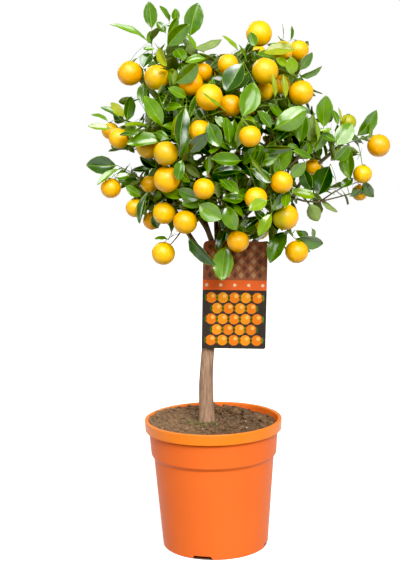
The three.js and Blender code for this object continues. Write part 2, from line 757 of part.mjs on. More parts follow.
// A twig from a place on a limb to its end, tried with one bend after another until it fits.
function route(start, end, thick, fits, keys) {
  const span = start.at.distanceTo(end);
  const base = Math.min(thick, start.radius * TWIG.share);
  for (let n = 0; n < SHOOTS.tries; n++) {
    const stray = point(...[1, 2, 3].map((axis) => dice(...keys, n, axis) - 0.5));
    const bend = start.at.clone().lerp(end, 0.45).addScaledVector(start.along, span * SHOOTS.bend);
    bend.addScaledVector(stray, span * SHOOTS.bend * n);
    const curve = new THREE.QuadraticBezierCurve3(start.at, bend, end);
    const limb = limbAlong(curve, TWIG.steps, (share) => twigRadius(share, base, start));
    if (fits(limb)) return limb;
  }
  return null;
}

function addTwig(mass, limb, key) {
  mass.twigs.push({ ...limb, key });
  addBeads(limb, mass);
}

// Places on a mass's own wood where a shoot may leave it, nearest first.
function startsNear(mass, place) {
  const onStem = STEM.shares.map((share) => placeOn(mass.stem, share));
  const onTwigs = mass.twigs.flatMap((twig) => TWIG.shares.map((share) => placeOn(twig, share)));
  return [...onStem, ...onTwigs]
    .filter(({ at }) => mass.twigs.every((twig) => twig.points[0].distanceTo(at) > TWIG.apart))
    .sort((a, b) => a.at.distanceTo(place) - b.at.distanceTo(place));
}

function growStem(mass, number, place) {
  const start = placeOn(mass.limb, STEM.first - STEM.step * place);
  const fits = (limb) => limbFits(limb, mass, { bounded: false });
  mass.stem =
    route(start, mass.heart, STEM.base, fits, [number, KEYS.stem]) ??
    limbAlong(new THREE.LineCurve3(start.at, mass.heart), TWIG.steps, () => STEM.base);
  addBeads(mass.stem, mass);
}

// The leaves of the outline take their places first, then a twig reaches each from its mass.
function growSprigs() {
  SPRIGS.forEach(([base, tip, turn], number) => {
    const start = point(...base);
    const end = point(...tip);
    const along = end.clone().sub(start).normalize();
    const face = FRONT.clone().sub(start).normalize().applyAxisAngle(along, turn * DEGREE);
    const width = start.distanceTo(end) * lerp(0.42, 0.54, dice(number, KEYS.sprig));
    const mass = massAt(start.clone().lerp(end, 0.12));
    const leaf = { ...leafAt(start, end, face, width), mass, number };
    if (leafFits(leaf, mass, { bounded: false })) crown.leaves.push(leaf);
  });
  crown.leaves = crown.leaves.filter((leaf) => {
    const end = leaf.base.clone().addScaledVector(leaf.along, LEAF.root);
    const fits = (limb) => limbFits(limb, leaf.mass, { bounded: false, leaf });
    for (const start of startsNear(leaf.mass, end)) {
      if (start.at.distanceTo(end) < TWIG.apart) return true;
      const limb = route(start, end, TWIG.base, fits, [leaf.number, KEYS.sprig]);
      if (!limb) continue;
      addTwig(leaf.mass, limb, leaf.number);
      return true;
    }
    return false;
  });
}

function hangFruit() {
  crown.fruit.forEach((fruit, number) => {
    const top = fruit.at.clone().addScaledVector(UP, fruit.radius * FRUIT_SHAPE.squat - STALK.sink);
    const above = fruit.at.clone().addScaledVector(UP, fruit.radius + STALK.lift);
    const mass = massAt(above);
    for (const start of startsNear(mass, above)) {
      const bend = above.clone().lerp(start.at, 0.25);
      const curve = new THREE.QuadraticBezierCurve3(start.at, bend, top);
      const base = Math.min(STALK.base, start.radius * TWIG.share);
      const limb = limbAlong(curve, TWIG.steps, (share) => twigRadius(Math.min(share, 0.9), base, start));
      if (!limbFits(limb, mass, { bounded: false, fruit })) continue;
      addTwig(mass, limb, KEYS.stalk + number);
      fruit.mass = mass;
      mass.fruit.push(fruit);
      return;
    }
  });
  crown.fruit = crown.fruit.filter((fruit) => fruit.mass);
}

// Shoots that fill the mass's space, spread evenly round its heart.
function growShoots(mass, number) {
  const golden = Math.PI * (3 - Math.sqrt(5));
  const out = mass.heart.clone().sub(MIDDLE).normalize();
  const wanted = Math.max(SHOOTS.least, SHOOTS.perMass - mass.twigs.length);
  const fits = (limb) => limbFits(limb, mass) && !inView(limb);
  for (let k = 0; k < wanted; k++) {
    const z = 1 - (2 * k + 1) / wanted;
    const turn = golden * k + number;
    const way = point(Math.cos(turn) * Math.sqrt(1 - z * z), Math.sin(turn) * Math.sqrt(1 - z * z), z);
    way.addScaledVector(out, 0.45).addScaledVector(UP, 0.15).normalize();
    for (const share of SHOOTS.reaches) {
      const reach = mass.reach * share * lerp(0.85, 1, dice(number, k, 1));
      const end = mass.heart.clone().addScaledVector(way, reach);
      const start = startsNear(mass, end)[Math.floor(dice(number, k, 2) * 2)];
      if (!start || start.at.distanceTo(end) < SHOOTS.shortest) continue;
      const limb = route(start, end, TWIG.base, fits, [number, k]);
      if (!limb) continue;
      addTwig(mass, limb, KEYS.shoot + k);
      break;
    }
  }
}

const inView = (limb) =>
  limb.points.some((place) => crown.views.some((view) => view.at.distanceTo(place) < view.radius));

// Leaves stand round each twig by the golden angle, their faces up and outwards. A fruit's stalk has
// none near the fruit, and a stem none near its foot.
function growLeaves(mass, number) {
  for (const twig of [mass.stem, ...mass.twigs]) {
    const isStem = twig === mass.stem;
    const isStalk = twig.key >= KEYS.stalk && twig.key < KEYS.shoot;
    const [lowest, highest] = isStem ? LEAF.onStem : isStalk ? LEAF.onStalk : LEAF.onTwig;
    const length = lengthOf(twig);
    const count = Math.max(1, Math.floor(length / LEAF.spacing));
    for (let n = 0; n <= count; n++) {
      const share = 1 - n / (count + 0.4) - LEAF.root / length;
      if (share < lowest || share > highest) continue;
      const place = placeOn(twig, share);
      if (mass.twigs.some((other) => other.points[0].distanceTo(place.at) < LEAF.apart)) continue;
      const keys = [number, twig.key ?? KEYS.stem, n];
      for (let attempt = 0; attempt < LEAF.tries; attempt++) {
        const leaf = leafOnTwig(place, n === 0 && !isStalk, keys, attempt);
        if (!leafFits(leaf, mass)) continue;
        crown.leaves.push({ ...leaf, mass });
        break;
      }
    }
  }
}

// A leaf of a twig: the one at its end runs on from it, the others stand off to the side.
function leafOnTwig(place, isEnd, keys, attempt) {
  const chance = (low, high, axis) => lerp(low, high, dice(...keys, attempt, axis));
  const spread = (isEnd ? LEAF.endSpread : chance(...LEAF.spread, 2)) * DEGREE;
  const side = UP.clone().cross(place.along);
  if (side.length() < 0.1) side.set(1, 0, 0);
  side.normalize().applyAxisAngle(place.along, (LEAF.turn * keys[2] + chance(0, 360, 1)) * DEGREE);
  const way = place.along.clone().multiplyScalar(Math.cos(spread)).addScaledVector(side, Math.sin(spread));
  const out = place.at.clone().sub(MIDDLE).normalize();
  const face = UP.clone().multiplyScalar(0.75).addScaledVector(out, 0.6);
  face.applyAxisAngle(way, chance(-LEAF.sway, LEAF.sway, 3) * DEGREE);
  const length = chance(...LEAF.lengths, 4) * (1 - LEAF.shrink * attempt);
  const tip = place.at.clone().addScaledVector(way, length);
  return leafAt(place.at.clone(), tip, face, length * LEAF.width * chance(0.9, 1.08, 5));
}

function fruitSolid(fruit) {
  const ball = new THREE.SphereGeometry(fruit.radius, FRUIT_SHAPE.around, FRUIT_SHAPE.along);
  ball.rotateX(Math.PI / 2).scale(1, 1, FRUIT_SHAPE.squat).rotateZ(fruit.radius);
  return solidOf(ball.translate(...fruit.at.toArray()));
}

// Fruit by rule on the masses behind the trunk: out from the heart, away from the front.
function backFruit(mass, number) {
  for (let k = 0; k < BACK_FRUIT.perMass; k++) {
    const chance = (low, high, axis) => lerp(low, high, dice(number, k, KEYS.backFruit + axis));
    const turn = chance(-70, 70, 1) * DEGREE;
    const tilt = chance(-45, 35, 2) * DEGREE;
    const way = point(Math.sin(turn) * Math.cos(tilt), Math.cos(turn) * Math.cos(tilt), Math.sin(tilt));
    const radius = chance(...BACK_FRUIT.radius, 3);
    const at = mass.heart.clone().addScaledVector(way, mass.reach * BACK_FRUIT.depth);
    const clear = (ball) => ball.at.distanceTo(at) > ball.radius + radius + CLEAR.fruit;
    if ([...crown.fruit, ...crown.beads].every(clear)) crown.fruit.push({ at, radius, front: false });
  }
}

function cardBeads() {
  const marks = [];
  const [right, top] = [CARD.width / 2, CARD.height / 2];
  for (let x = -right; x <= right; x += CARD.beadStep)
    for (let y = -top; y <= top; y += CARD.beadStep) marks.push(point(x, y, 0));
  const places = cardFrame(new THREE.BufferGeometry().setFromPoints(marks)).attributes.position;
  for (let i = 0; i < places.count; i++) {
    const at = new THREE.Vector3().fromBufferAttribute(places, i);
    crown.beads.push({ at, radius: CARD.clear, owner: "card" });
  }
}

// The crown, grown in turn: limbs, fruit, stems, sprigs, stalks, shoots and leaves.
function growCrown(limbs) {
  for (const [name, limb] of Object.entries(limbs)) addBeads(limb, name);
  cardBeads();
  for (const [x, y, z, radius] of FRUIT) crown.fruit.push({ at: point(x, y, z), radius, front: true });
  for (const [name, { bough, heart, reach }] of Object.entries(MASSES))
    crown.masses.push({
      name,
      bough,
      limb: limbs[bough],
      heart: point(...heart),
      reach,
      twigs: [],
      fruit: [],
    });
  spacesOf(crown.masses);
  const carried = {};
  crown.masses.forEach((mass, number) => {
    carried[mass.bough] = (carried[mass.bough] ?? -1) + 1;
    growStem(mass, number, carried[mass.bough]);
  });
  crown.masses.forEach((mass, number) => mass.name.startsWith("back") && backFruit(mass, number));
  growSprigs();
  hangFruit();
  openViews();
  crown.masses.forEach(growShoots);
  crown.masses.forEach(growLeaves);
}

function massSolid(mass) {
  const solids = [tube(mass.stem, STEM.sides)];
  for (const twig of mass.twigs) solids.push(tube(twig, TWIG.sides));
  for (const leaf of crown.leaves) if (leaf.mass === mass) solids.push(leafSolid(leaf));
  for (const fruit of mass.fruit) solids.push(fruitSolid(fruit));
  return oneBody(wasm.Manifold.union(solids).subtract(tube(mass.limb, BOUGH_SIDES, CUT_GAP)));
}

/* ---------- the whole tree ---------- */

const tree = new THREE.Group();
tree.name = "calamondin_tree";
const limbs = { trunk: trunkLimb() };
for (const [name, bough] of Object.entries(BOUGHS)) limbs[name] = boughLimb(bough, limbs[bough.from]);
growCrown(limbs);

tree.add(meshOf("pot", pot(), COLOURS.pot, 0.45));
tree.add(meshOf("soil", soil(), COLOURS.soil, 0.95));
tree.add(meshOf("trunk", tube(limbs.trunk, TRUNK.sides, 0, fluted), COLOURS.bark, 0.85));
for (const [name, { from }] of Object.entries(BOUGHS)) {
  const parentSides = from === "trunk" ? TRUNK.sides : BOUGH_SIDES;
  const cut = tube(limbs[name], BOUGH_SIDES).subtract(tube(limbs[from], parentSides, CUT_GAP));
  tree.add(meshOf("bough_" + name, oneBody(cut), COLOURS.bough, 0.85));
}
tree.add(meshOf("label_card", card(), COLOURS.card, 0.5));
tree.add(meshOf("label_tie", tie(limbs.leader), COLOURS.tie, 0.6));
for (const mass of crown.masses) tree.add(meshOf("foliage_" + mass.name, massSolid(mass), COLOURS.leaf, 0.4));

export default tree;
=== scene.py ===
import json
import math
from collections import namedtuple
from itertools import combinations

import bmesh
import bpy
import numpy as np
from mathutils import Matrix, Vector

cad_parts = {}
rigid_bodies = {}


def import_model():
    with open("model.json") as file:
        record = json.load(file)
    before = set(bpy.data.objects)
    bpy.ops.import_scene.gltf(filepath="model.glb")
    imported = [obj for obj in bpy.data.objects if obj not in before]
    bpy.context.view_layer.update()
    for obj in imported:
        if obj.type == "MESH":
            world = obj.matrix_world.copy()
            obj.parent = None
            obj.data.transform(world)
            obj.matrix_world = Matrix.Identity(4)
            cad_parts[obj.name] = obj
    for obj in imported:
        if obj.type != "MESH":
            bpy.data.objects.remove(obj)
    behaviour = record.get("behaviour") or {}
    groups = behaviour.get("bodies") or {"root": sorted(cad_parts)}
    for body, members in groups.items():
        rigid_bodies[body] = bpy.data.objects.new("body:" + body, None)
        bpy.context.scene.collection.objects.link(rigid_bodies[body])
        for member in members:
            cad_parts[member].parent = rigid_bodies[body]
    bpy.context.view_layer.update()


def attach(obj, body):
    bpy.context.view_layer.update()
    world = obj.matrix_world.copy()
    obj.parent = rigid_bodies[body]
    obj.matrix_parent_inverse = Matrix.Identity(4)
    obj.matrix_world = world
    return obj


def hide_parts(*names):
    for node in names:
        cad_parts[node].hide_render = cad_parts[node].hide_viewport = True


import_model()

# Lengths in the tables are millimetres, as in the part's source. Meshes are made in metres.
MM = 0.001
DEGREE = math.pi / 180
UP = np.array([0.0, 0.0, 1.0])

# ---------- camera ----------

PICTURE = (400, 572)
CAMERA = {
    "place": (0, -1514.7, 564.2),
    "pitch": 0.1323,
    "roll": -0.0212,
    "yaw": -0.0095,
    "focal": 1117.87,  # pixels
    "sensor": 36,
}


def make_camera():
    """The camera looks along forward, with its own right and up turned by the roll."""
    yaw, pitch, roll = CAMERA["yaw"], CAMERA["pitch"], CAMERA["roll"]
    level = math.cos(pitch)
    forward = Vector((math.sin(yaw) * level, math.cos(yaw) * level, -math.sin(pitch)))
    flat = Vector((math.cos(yaw), -math.sin(yaw), 0))
    upright = flat.cross(forward)
    right = flat * math.cos(roll) + upright * math.sin(roll)
    up = upright * math.cos(roll) - flat * math.sin(roll)
    data = bpy.data.cameras.new("camera")
    data.sensor_width = CAMERA["sensor"]
    data.lens = CAMERA["focal"] * CAMERA["sensor"] / max(PICTURE)
    data.clip_end = 100
    camera = bpy.data.objects.new("camera", data)
    bpy.context.scene.collection.objects.link(camera)
    turn = Matrix((right, up, -forward)).transposed().to_4x4()
    camera.matrix_world = Matrix.Translation(Vector(CAMERA["place"]) * MM) @ turn
    bpy.context.scene.camera = camera


make_camera()

# ---------- dimensions, as in the part's source ----------

SEAT_GAP = 0.3

POT = {
    "height": 178,
    "rimRadius": 95,
    "bandRadius": 94.5,
    "bandBottom": 163.5,
    "neckRadius": 89,
    "neckTop": 157.5,
    "shoulderRadius": 87,
    "shoulderTop": 130,
    "bodyRadius": 83,
    "bodyTop": 122,
    "footRadius": 73.4,
    "wall": 2,
    "footRing": 2.8,
    "footHeight": 6,
    "padRadius": 26,
}
NOTCH = {"count": 4, "first": -14.5, "width": 29, "topWidth": 23, "height": 5}

SOIL = {"level": 172, "flatRadius": 26, "lump": 2.6, "leftRise": 6.4, "rightDrop": 4}

TRUNK = {
    "foot": SOIL["level"] + SEAT_GAP,
    "fork": 412,
    "centreX": [-9, -9, -7.7, -5.5, 3.5, 16],
    "centreZ": [0, 54, 77, 101, 170, 240],
    "diameter": 19.6,
    "forkDiameter": 15.6,
    "flare": 1.9,
    "flareHeight": 16,
    "flute": 0.035,
    "steps": 10,
}

# Each bough: what it grows from, how far up that limb, the point it bends past, its tip, and its radius
# at the base and at the end.
BOUGHS = {
    "leader": ("trunk", 1, (42, 8, 450), (42, 6, 588), 6.2, 3.2),
    "left_upper": ("trunk", 0.955, (-18, 22, 470), (-40, 8, 604), 4.8, 2.8),
    "left": ("trunk", 0.91, (-52, 30, 452), (-72, 4, 538), 4.6, 2.7),
    "left_low": ("trunk", 0.85, (17, -14, 464), (-62, -16, 488), 4.2, 2.6),
    "back": ("trunk", 0.915, (10, 62, 450), (6, 66, 560), 4.6, 2.7),
    "back_low": ("trunk", 0.88, (14, 48, 400), (16, 74, 462), 4.2, 2.6),
    "right": ("trunk", 0.91, (85, 18, 430), (132, 8, 512), 4.6, 2.7),
    "right_low": ("trunk", 0.84, (64, 8, 396), (94, 2, 428), 3.8, 2.4),
    "right_upper": ("leader", 0.42, (84, 28, 540), (96, 18, 610), 3.6, 2.4),
    "right_front": ("leader", 0.3, (88, -18, 480), (98, -36, 548), 3.8, 2.4),
    "front": ("leader", 0.42, (18, -46, 508), (14, -46, 572), 3.6, 2.4),
    "front_low": ("leader", 0.22, (34, -34, 456), (22, -46, 474), 3.4, 2.4),
}
BOUGH_SIDES = 5
BOUGH_STEPS = 4

# Each mass of foliage: the bough that carries it, its heart, and how far its own shoots reach.
MASSES = {
    "crest_left": ("left_upper", (-70, -15, 671), 40),
    "crest_centre": ("left_upper", (-34, -15, 668), 46),
    "upper_left": ("left_upper", (-40, -45, 618), 50),
    "crown_top": ("leader", (55, -25, 645), 46),
    "crest_right": ("right_upper", (104, 10, 655), 38),
    "upper_right": ("right_upper", (112, -30, 630), 38),
    "top_front": ("leader", (73, -62, 605), 46),
    "front_upper": ("front", (30, -78, 588), 50),
    "left_shoulder": ("left", (-100, -5, 578), 38),
    "left_front": ("left", (-66, -52, 580), 48),
    "centre_left": ("front", (-20, -78, 580), 48),
    "left_tip": ("left_low", (-102, -20, 519), 28),
    "left_low": ("left_low", (-80, -22, 488), 38),
    "left_mid": ("left_low", (-52, -55, 527), 46),
    "left_foot": ("left_low", (-38, -42, 468), 38),
    "front_low_left": ("front_low", (8, -76, 494), 46),
    "front_mid": ("front", (40, -88, 540), 50),
    "front_low": ("front_low", (38, -42, 450), 38),
    "front_right": ("right_front", (84, -78, 562), 48),
    "right_low": ("right_front", (84, -66, 492), 46),
    "right_upper": ("right_front", (138, -28, 573), 42),
    "right_shoulder": ("right", (183, -3, 554), 34),
    "right_arm": ("right", (158, -8, 490), 34),
    "right_foot": ("right_low", (109, -22, 439), 36),
    "back_crest": ("back", (-22, 42, 650), 54),
    "back_top": ("leader", (44, 38, 655), 54),
    "back_left_upper": ("back", (-66, 58, 600), 56),
    "back_centre": ("back", (10, 92, 590), 58),
    "back_right_upper": ("right_upper", (92, 66, 602), 58),
    "back_low": ("back_low", (16, 92, 506), 56),
    "back_left": ("back_low", (-70, 54, 520), 56),
    "back_right": ("right", (108, 56, 516), 58),
    "back_foot": ("back_low", (60, 48, 452), 44),
}

# Sprigs are the leaves that draw the crown's outline and its face: base, tip, and the turn of the face
# from the front. Then the blade's look: its tone, its width against the usual one and, where they aren't
# the usual ones, how deep it is folded and its turn about the rib.
SPRIGS = [
    ((-70, -20, 704), (-73, -22, 741), 10, "mid", 1.05, 0.1),
    ((-74, -28, 688), (-123, -38, 711), 50, "fresh", 0.42, 0.3),
    ((-47, -5, 714), (-60, 0, 738), 60, "mid", 1.1),
    ((-39, -5, 714), (-39, -8, 733), 20, "fresh", 1.1),
    ((-21, -18, 693), (-9, -20, 738), 10, "mid", 1, 0.15),
    ((-51, -45, 679), (-21, -55, 708), 15, "mid", 0.95),
    ((-19, -20, 680), (21, -15, 691), 130, "deep", 0.7),
    ((-41, -94, 631), (-10, -104, 655), 20, "mid", 1.1, 0.1),
    ((-56, -78, 577), (-79, -85, 617), 15, "fresh", 0.85),
    ((-56, -80, 559), (-103, -85, 557), 35, "fresh", 1, 0.6, 8),
    ((-116, -5, 590), (-143, 5, 607), 40, "mid", 0.6),
    ((-109, -15, 592), (-127, -20, 612), 10, "young", 1),
    ((-108, -8, 585), (-101, -6, 620), 30, "mid", 0.9, 0.3),
    ((-131, -12, 586), (-155, -8, 597), 55, "fresh", 0.6),
    ((-126, -15, 577), (-158, -22, 582), 40, "bright", 0.7, 0.4),
    ((-26, -116, 605), (-34, -127, 552), 10, "deep", 0.7, 0.15, -33),
    ((-24, -109, 545), (1, -133, 570), 20, "deep", 0.85),
    ((-119, -25, 529), (-161, -30, 531), 25, "deep", 1.1, 0.4, -12),
    ((-114, -38, 525), (-145, -52, 505), 50, "fresh", 0.55, 0.3),
    ((-89, -35, 487), (-109, -40, 503), 15, "fresh", 0.95, 0.1),
    ((-78, -48, 497), (-91, -58, 454), 45, "deep", 0.6, 0.4),
    ((-54, -40, 430), (-73, -42, 432), 60, "mid", 1, 0.3),
    ((-29, -50, 438), (7, -62, 398), 40, "deep", 0.65, 0.45),
    ((-14, -95, 481), (16, -108, 462), 10, "fresh", 1.2, 0.15),
    ((22, -47, 424), (15, -58, 377), 5, "fresh", 1.2, 0.15),
    ((23, -42, 447), (10, -44, 414), 40, "deep", 0.8),
    ((105, -40, 437), (79, -52, 398), 35, "mid", 1.15, 0.3),
    ((112, -20, 428), (153, -15, 419), 35, "mid", 1.1, 0.3),
    ((134, -12, 474), (146, -15, 449), 180, "under", 1.55, 0.1),
    ((149, -5, 479), (174, 0, 460), 130, "under", 0.7),
    ((208, -10, 503), (221, -14, 480), 40, "mid", 1.6),
    ((188, -22, 548), (187, -34, 506), 40, "fresh", 1.25),
    ((153, -28, 571), (156, -30, 615), 20, "fresh", 1.15),
    ((178, -5, 579), (176, 0, 600), 60, "young", 0.5, 0.3),
    ((167, -30, 548), (191, -22, 578), 10, "fresh", 1.15, 0.05, -15),
    ((197, -8, 560), (225, -12, 595), 25, "mid", 0.9, 0.15),
    ((43, -25, 673), (22, -25, 695), 50, "bright", 0.5),
    ((53, -32, 659), (43, -38, 682), 55, "mid", 0.5),
    ((72, -50, 669), (112, -76, 671), 35, "young", 0.8, 0.3, -70),
    ((102, -5, 689), (102, -5, 710), 88, "deep", 0.4, 0.1),
    ((113, 8, 689), (115, 10, 709), 70, "mid", 1.2),
    ((118, -35, 647), (138, -38, 670), 30, "mid", 1),
    ((119, -25, 641), (152, -22, 653), 50, "fresh", 0.75, 0.3),
    ((42, -108, 585), (59, -100, 630), 5, "fresh", 0.95, 0.45),
    ((24, -131, 594), (-6, -149, 618), 60, "bright", 0.3),
    ((81, -95, 571), (125, -95, 598), 0, "fresh", 1, -0.6),
    ((43, -110, 534), (4, -122, 537), 20, "mid", 1, 0.5, 12),
    ((50, -115, 544), (76, -128, 507), 50, "bright", 0.35),
    ((74, -124, 485), (49, -137, 474), 15, "bright", 1.1, 0.15),
    ((80, -98, 468), (62, -105, 439), 15, "bright", 0.9, 0.15),
]

# Further sprigs of the face, on finer twigs.
MORE_SPRIGS = [
    ((-70, -28, 674), (-82, -40, 656), 30, "deep", 1.5),
    ((-61, -40, 682), (-50, -62, 655), 40, "young", 0.7),
    ((-21, -40, 660), (3, -50, 666), 50, "fresh", 1),
    ((-25, -85, 613), (-48, -95, 626), 20, "fresh", 1),
    ((-82, -30, 638), (-84, -35, 609), 20, "mid", 1),
    ((-96, -62, 568), (-113, -70, 569), 50, "deep", 1),
    ((-47, -90, 565), (-35, -95, 594), 25, "young", 1),
    ((-32, -105, 538), (-38, -108, 511), 15, "mid", 1.1),
    ((-102, -40, 517), (-122, -44, 514), 35, "mid", 1.1, 0.3),
    ((-73, -13, 522), (-103, -9, 522), 40, "deep", 0.6),
    ((-73, -30, 466), (-68, -32, 445), 30, "deep", 1),
    ((22, -90, 480), (34, -95, 446), 10, "fresh", 1.15, 0.15),
    ((46, -95, 485), (18, -105, 487), 30, "mid", 1, 0.3),
    ((102, -48, 437), (92, -58, 411), 50, "mid", 0.9),
    ((115, -10, 438), (134, 0, 427), 20, "mid", 1),
    ((141, -45, 482), (107, -60, 492), 35, "bright", 0.7, 0.3),
    ((195, -10, 506), (177, -14, 494), 30, "mid", 1.2),
    ((164, -12, 525), (147, -15, 484), 30, "deep", 1.5),
    ((125, -20, 523), (136, -22, 491), 15, "deep", 1),
    ((212, -15, 555), (216, -18, 578), 45, "mid", 0.6),
    ((142, -55, 554), (139, -62, 584), 50, "bright", 0.5),
    ((126, 15, 677), (138, 20, 689), 20, "deep", 1),
    ((84, -102, 609), (81, -106, 640), 45, "young", 0.6, 0.3),
    ((99, -88, 609), (96, -90, 640), 45, "young", 0.7, 0.3),
    ((55, -60, 645), (26, -85, 622), 20, "deep", 1.2, 0.15),
    ((80, -98, 572), (63, -108, 595), 30, "mid", 0.9),
    ((1, -121, 584), (15, -127, 552), 15, "mid", 1.1),
    ((63, -105, 550), (106, -108, 548), 35, "deep", 0.6),
    ((-2, -110, 515), (0, -115, 541), 35, "fresh", 0.6),
    ((1, -62, 663), (-26, -70, 659), 30, "fresh", 0.9, 0.3),
    ((48, -84, 657), (24, -92, 620), 25, "deep", 1.1),
    ((31, -50, 471), (18, -54, 442), 15, "deep", 1),
    ((83, -78, 514), (106, -84, 547), 15, "fresh", 1, 0.25),
    ((102, -88, 510), (123, -92, 530), 30, "fresh", 1.2, 0.25),
    ((107, -80, 638), (107, -84, 662), 10, "bright", 1.4, 0.1),
    ((193, -4, 493), (208, -6, 485), 30, "deep", 0.9),
    ((-52, -6, 701), (-64, -8, 716), 30, "mid", 1.2),
    ((164, -46, 530), (185, -50, 549), 20, "mid", 1.1, 0.3),
    ((-67, -25, 524), (-90, -30, 540), 20, "deep", 1.1, 0.3),
    ((188, -10, 481), (205, -12, 491), 30, "deep", 0.9),
    ((64, -42, 677), (57, -44, 697), 15, "mid", 1.2, 0.1),
    ((68, -28, 661), (59, -30, 675), 30, "deep", 0.9),
    ((104, -64, 650), (89, -68, 662), 20, "bright", 1),
    ((114, -80, 578), (87, -84, 557), 25, "deep", 1),
    ((127, -58, 593), (119, -64, 555), 15, "mid", 0.9),
    ((139, -42, 593), (133, -46, 556), 20, "under", 0.8),
    ((163, -46, 571), (144, -52, 569), 30, "bright", 0.6),
    ((168, -40, 555), (148, -44, 565), 30, "mid", 0.9),
    ((68, -76, 462), (46, -80, 446), 25, "deep", 1),
    ((103, -34, 438), (82, -38, 419), 25, "deep", 1),
    ((5, -64, 471), (-17, -66, 464), 25, "deep", 1),
    ((-31, -66, 532), (-10, -70, 513), 20, "under", 0.9),
    ((10, -86, 508), (13, -90, 487), 20, "under", 0.8),
    ((47, -90, 520), (6, -94, 519), 35, "deep", 0.9),
    ((171, -34, 575), (164, -38, 596), 25, "mid", 0.8),
    ((-66, -34, 679), (-81, -38, 679), 30, "mid", 0.9),
    ((-51, -12, 698), (-36, -14, 721), 15, "mid", 0.9),
    ((75, -86, 455), (57, -92, 472), 20, "deep", 1),
]

# Fruit on the front and the sides: centre, radius, and a tone if it isn't ripe.
FRUIT = [
    (-100, -30, 649, 15.9),
    (-64, -50, 642, 16.1, "dull"),
    (-20, -75, 632, 15.2),
    (3, -115, 613, 16.4),
    (-4, -36, 648, 11.7),
    (28, -60, 656, 12.8),
    (70, -20, 697, 16.6),
    (99, -45, 672, 12.9),
    (122, -12, 675, 13.2),
    (74, -85, 645, 16.3, "dull"),
    (96, -34, 630, 12.9),
    (121, -62, 618, 15.4),
    (75, -52, 621, 11.6),
    (-116, -40, 565, 13.3),
    (-131, 8, 575, 11.4),
    (-77, -60, 554, 15.5, "dull"),
    (-53, -100, 545, 15.1, "dull"),
    (-9, -110, 572, 13.4),
    (52, -135, 564, 13.2),
    (30, -85, 603, 13.9),
    (-53, -85, 512, 16.6),
    (-6, -105, 500, 13.3),
    (-129, -35, 500, 13.2),
    (-98, -30, 473, 12.4),
    (-59, -55, 467, 14.4),
    (-31, -75, 456, 15.2),
    (-62, -35, 412, 15.3),
    (92, -105, 506, 13.8),
    (59, -110, 487, 13.8),
    (98, -75, 460, 16.7, "turning"),
    (37, -66, 429, 14),
    (115, -40, 411, 15),
    (228, -10, 548, 14.9),
    (205, -20, 511, 12.3),
    (205, 8, 485, 10.8),
    (142, 10, 521, 10.8),
    (-77, -10, 454, 12.1),
    (-78, -30, 504, 11.3),
    (191, 20, 580, 10.9, "olive"),
]
# Fruit on the masses behind: how many, their radius, how far out of the mass, and which way from it.
BACK_FRUIT = {
    "perMass": 2,
    "radius": (11.5, 15.5),
    "depth": 0.82,
    "turn": (-70, 70),
    "tilt": (-45, 35),
}

# Sky seen from the front, through the crown and round it: place in the plane of the trunk, and radius.
SKY = [
    (47, 628, 6), (64, 454, 9), (6, 446, 9), (-91, 604, 8), (-68, 632, 5), (-55, 696, 7),
    (135, 494, 6), (-93, 534, 12), (-116, 484, 14), (143, 640, 14), (130, 450, 9),
    (-97, 684, 13), (27, 685, 13), (148, 607, 9), (-95, 597, 10), (172, 472, 11), (-2, 446, 9),
    (50, 694, 9), (125, 503, 5), (30, 706, 9), (-7, 694, 8), (4, 679, 6), (-117, 538, 9),
    (176, 516, 9), (126, 467, 7), (-40, 430, 8), (-89, 713, 7), (-97, 631, 7), (-62, 444, 6),
]

# The crown is seen from FRONT, and lies about MIDDLE.
FRONT = np.array([0.0, -1515, 565])
MIDDLE = np.array([20.0, 0, 555])
CROWN_HALF_DEPTH = 150
# Lines of sight: how far they are kept open, how close their balls stand, and how wide they are,
# as a share of a fruit's radius and of a leaf's width.
VIEW = {"reach": 70, "step": 6, "fruit": 0.72, "leaf": 0.3, "alongLeaf": (0.3, 0.55, 0.8)}

# Each mass's stem leaves its bough at "first", or a step lower for each mass before it. Twigs may leave
# it at the shares given.
STEM = {"base": 2.4, "first": 0.985, "step": 0.13, "shares": (0.45, 0.6, 0.74, 0.87, 1)}
# Twigs: thickness at the base and as a share of their parent's, how slim they start inside it, how they
# taper, where others may leave them and how far apart, and how they bend, a little more at each try.
TWIG = {
    "base": 1.5,
    "share": 0.9,
    "root": 0.42,
    "taper": 0.2,
    "end": 0.35,
    "steps": 2,
    "shares": (0.25, 0.5, 0.72),
    "apart": 4,
    "bendAt": 0.45,
    "bend": 0.12,
    "tries": 12,
}
# A fruit's stalk comes down from a lift above it and sinks into it.
STALK = {"base": 1.1, "lift": 7, "sink": 2.2, "bendAt": 0.25, "slimmest": 0.9}
# Twigs that fill a mass: how many, with the lengths to try as shares of the mass's reach, how far they
# turn out of the crown and up, how their length varies, and how many near places they may start from.
SHOOTS = {
    "perMass": 6,
    "least": 2,
    "reaches": (0.8, 0.6, 0.42),
    "shortest": 14,
    "outward": 0.45,
    "upward": 0.15,
    "vary": 0.85,
    "starts": 2,
}
# Leaves: their size and shape, where they stand on a twig, how far apart, and how they turn there.
LEAF = {
    "lengths": (36, 52),
    "width": 0.5,
    "widths": (0.9, 1.08),
    "sprigWidths": (0.42, 0.54),
    "belongsAt": 0.12,
    "root": 0.6,
    "shoulder": 0.3,
    "tail": 0.68,
    "onTwig": (0.15, 1),
    "onStem": (0.4, 1),
    "onStalk": (0.15, 0.7),
    "spacing": 10,
    "last": 0.4,
    "apart": 2.2,
    "tries": 14,
    "shrink": 0.03,
    "endSpread": 12,
    "spread": (38, 72),
    "turn": 137.5,
    "sway": 50,
    "upward": 0.75,
    "outward": 1.1,
}
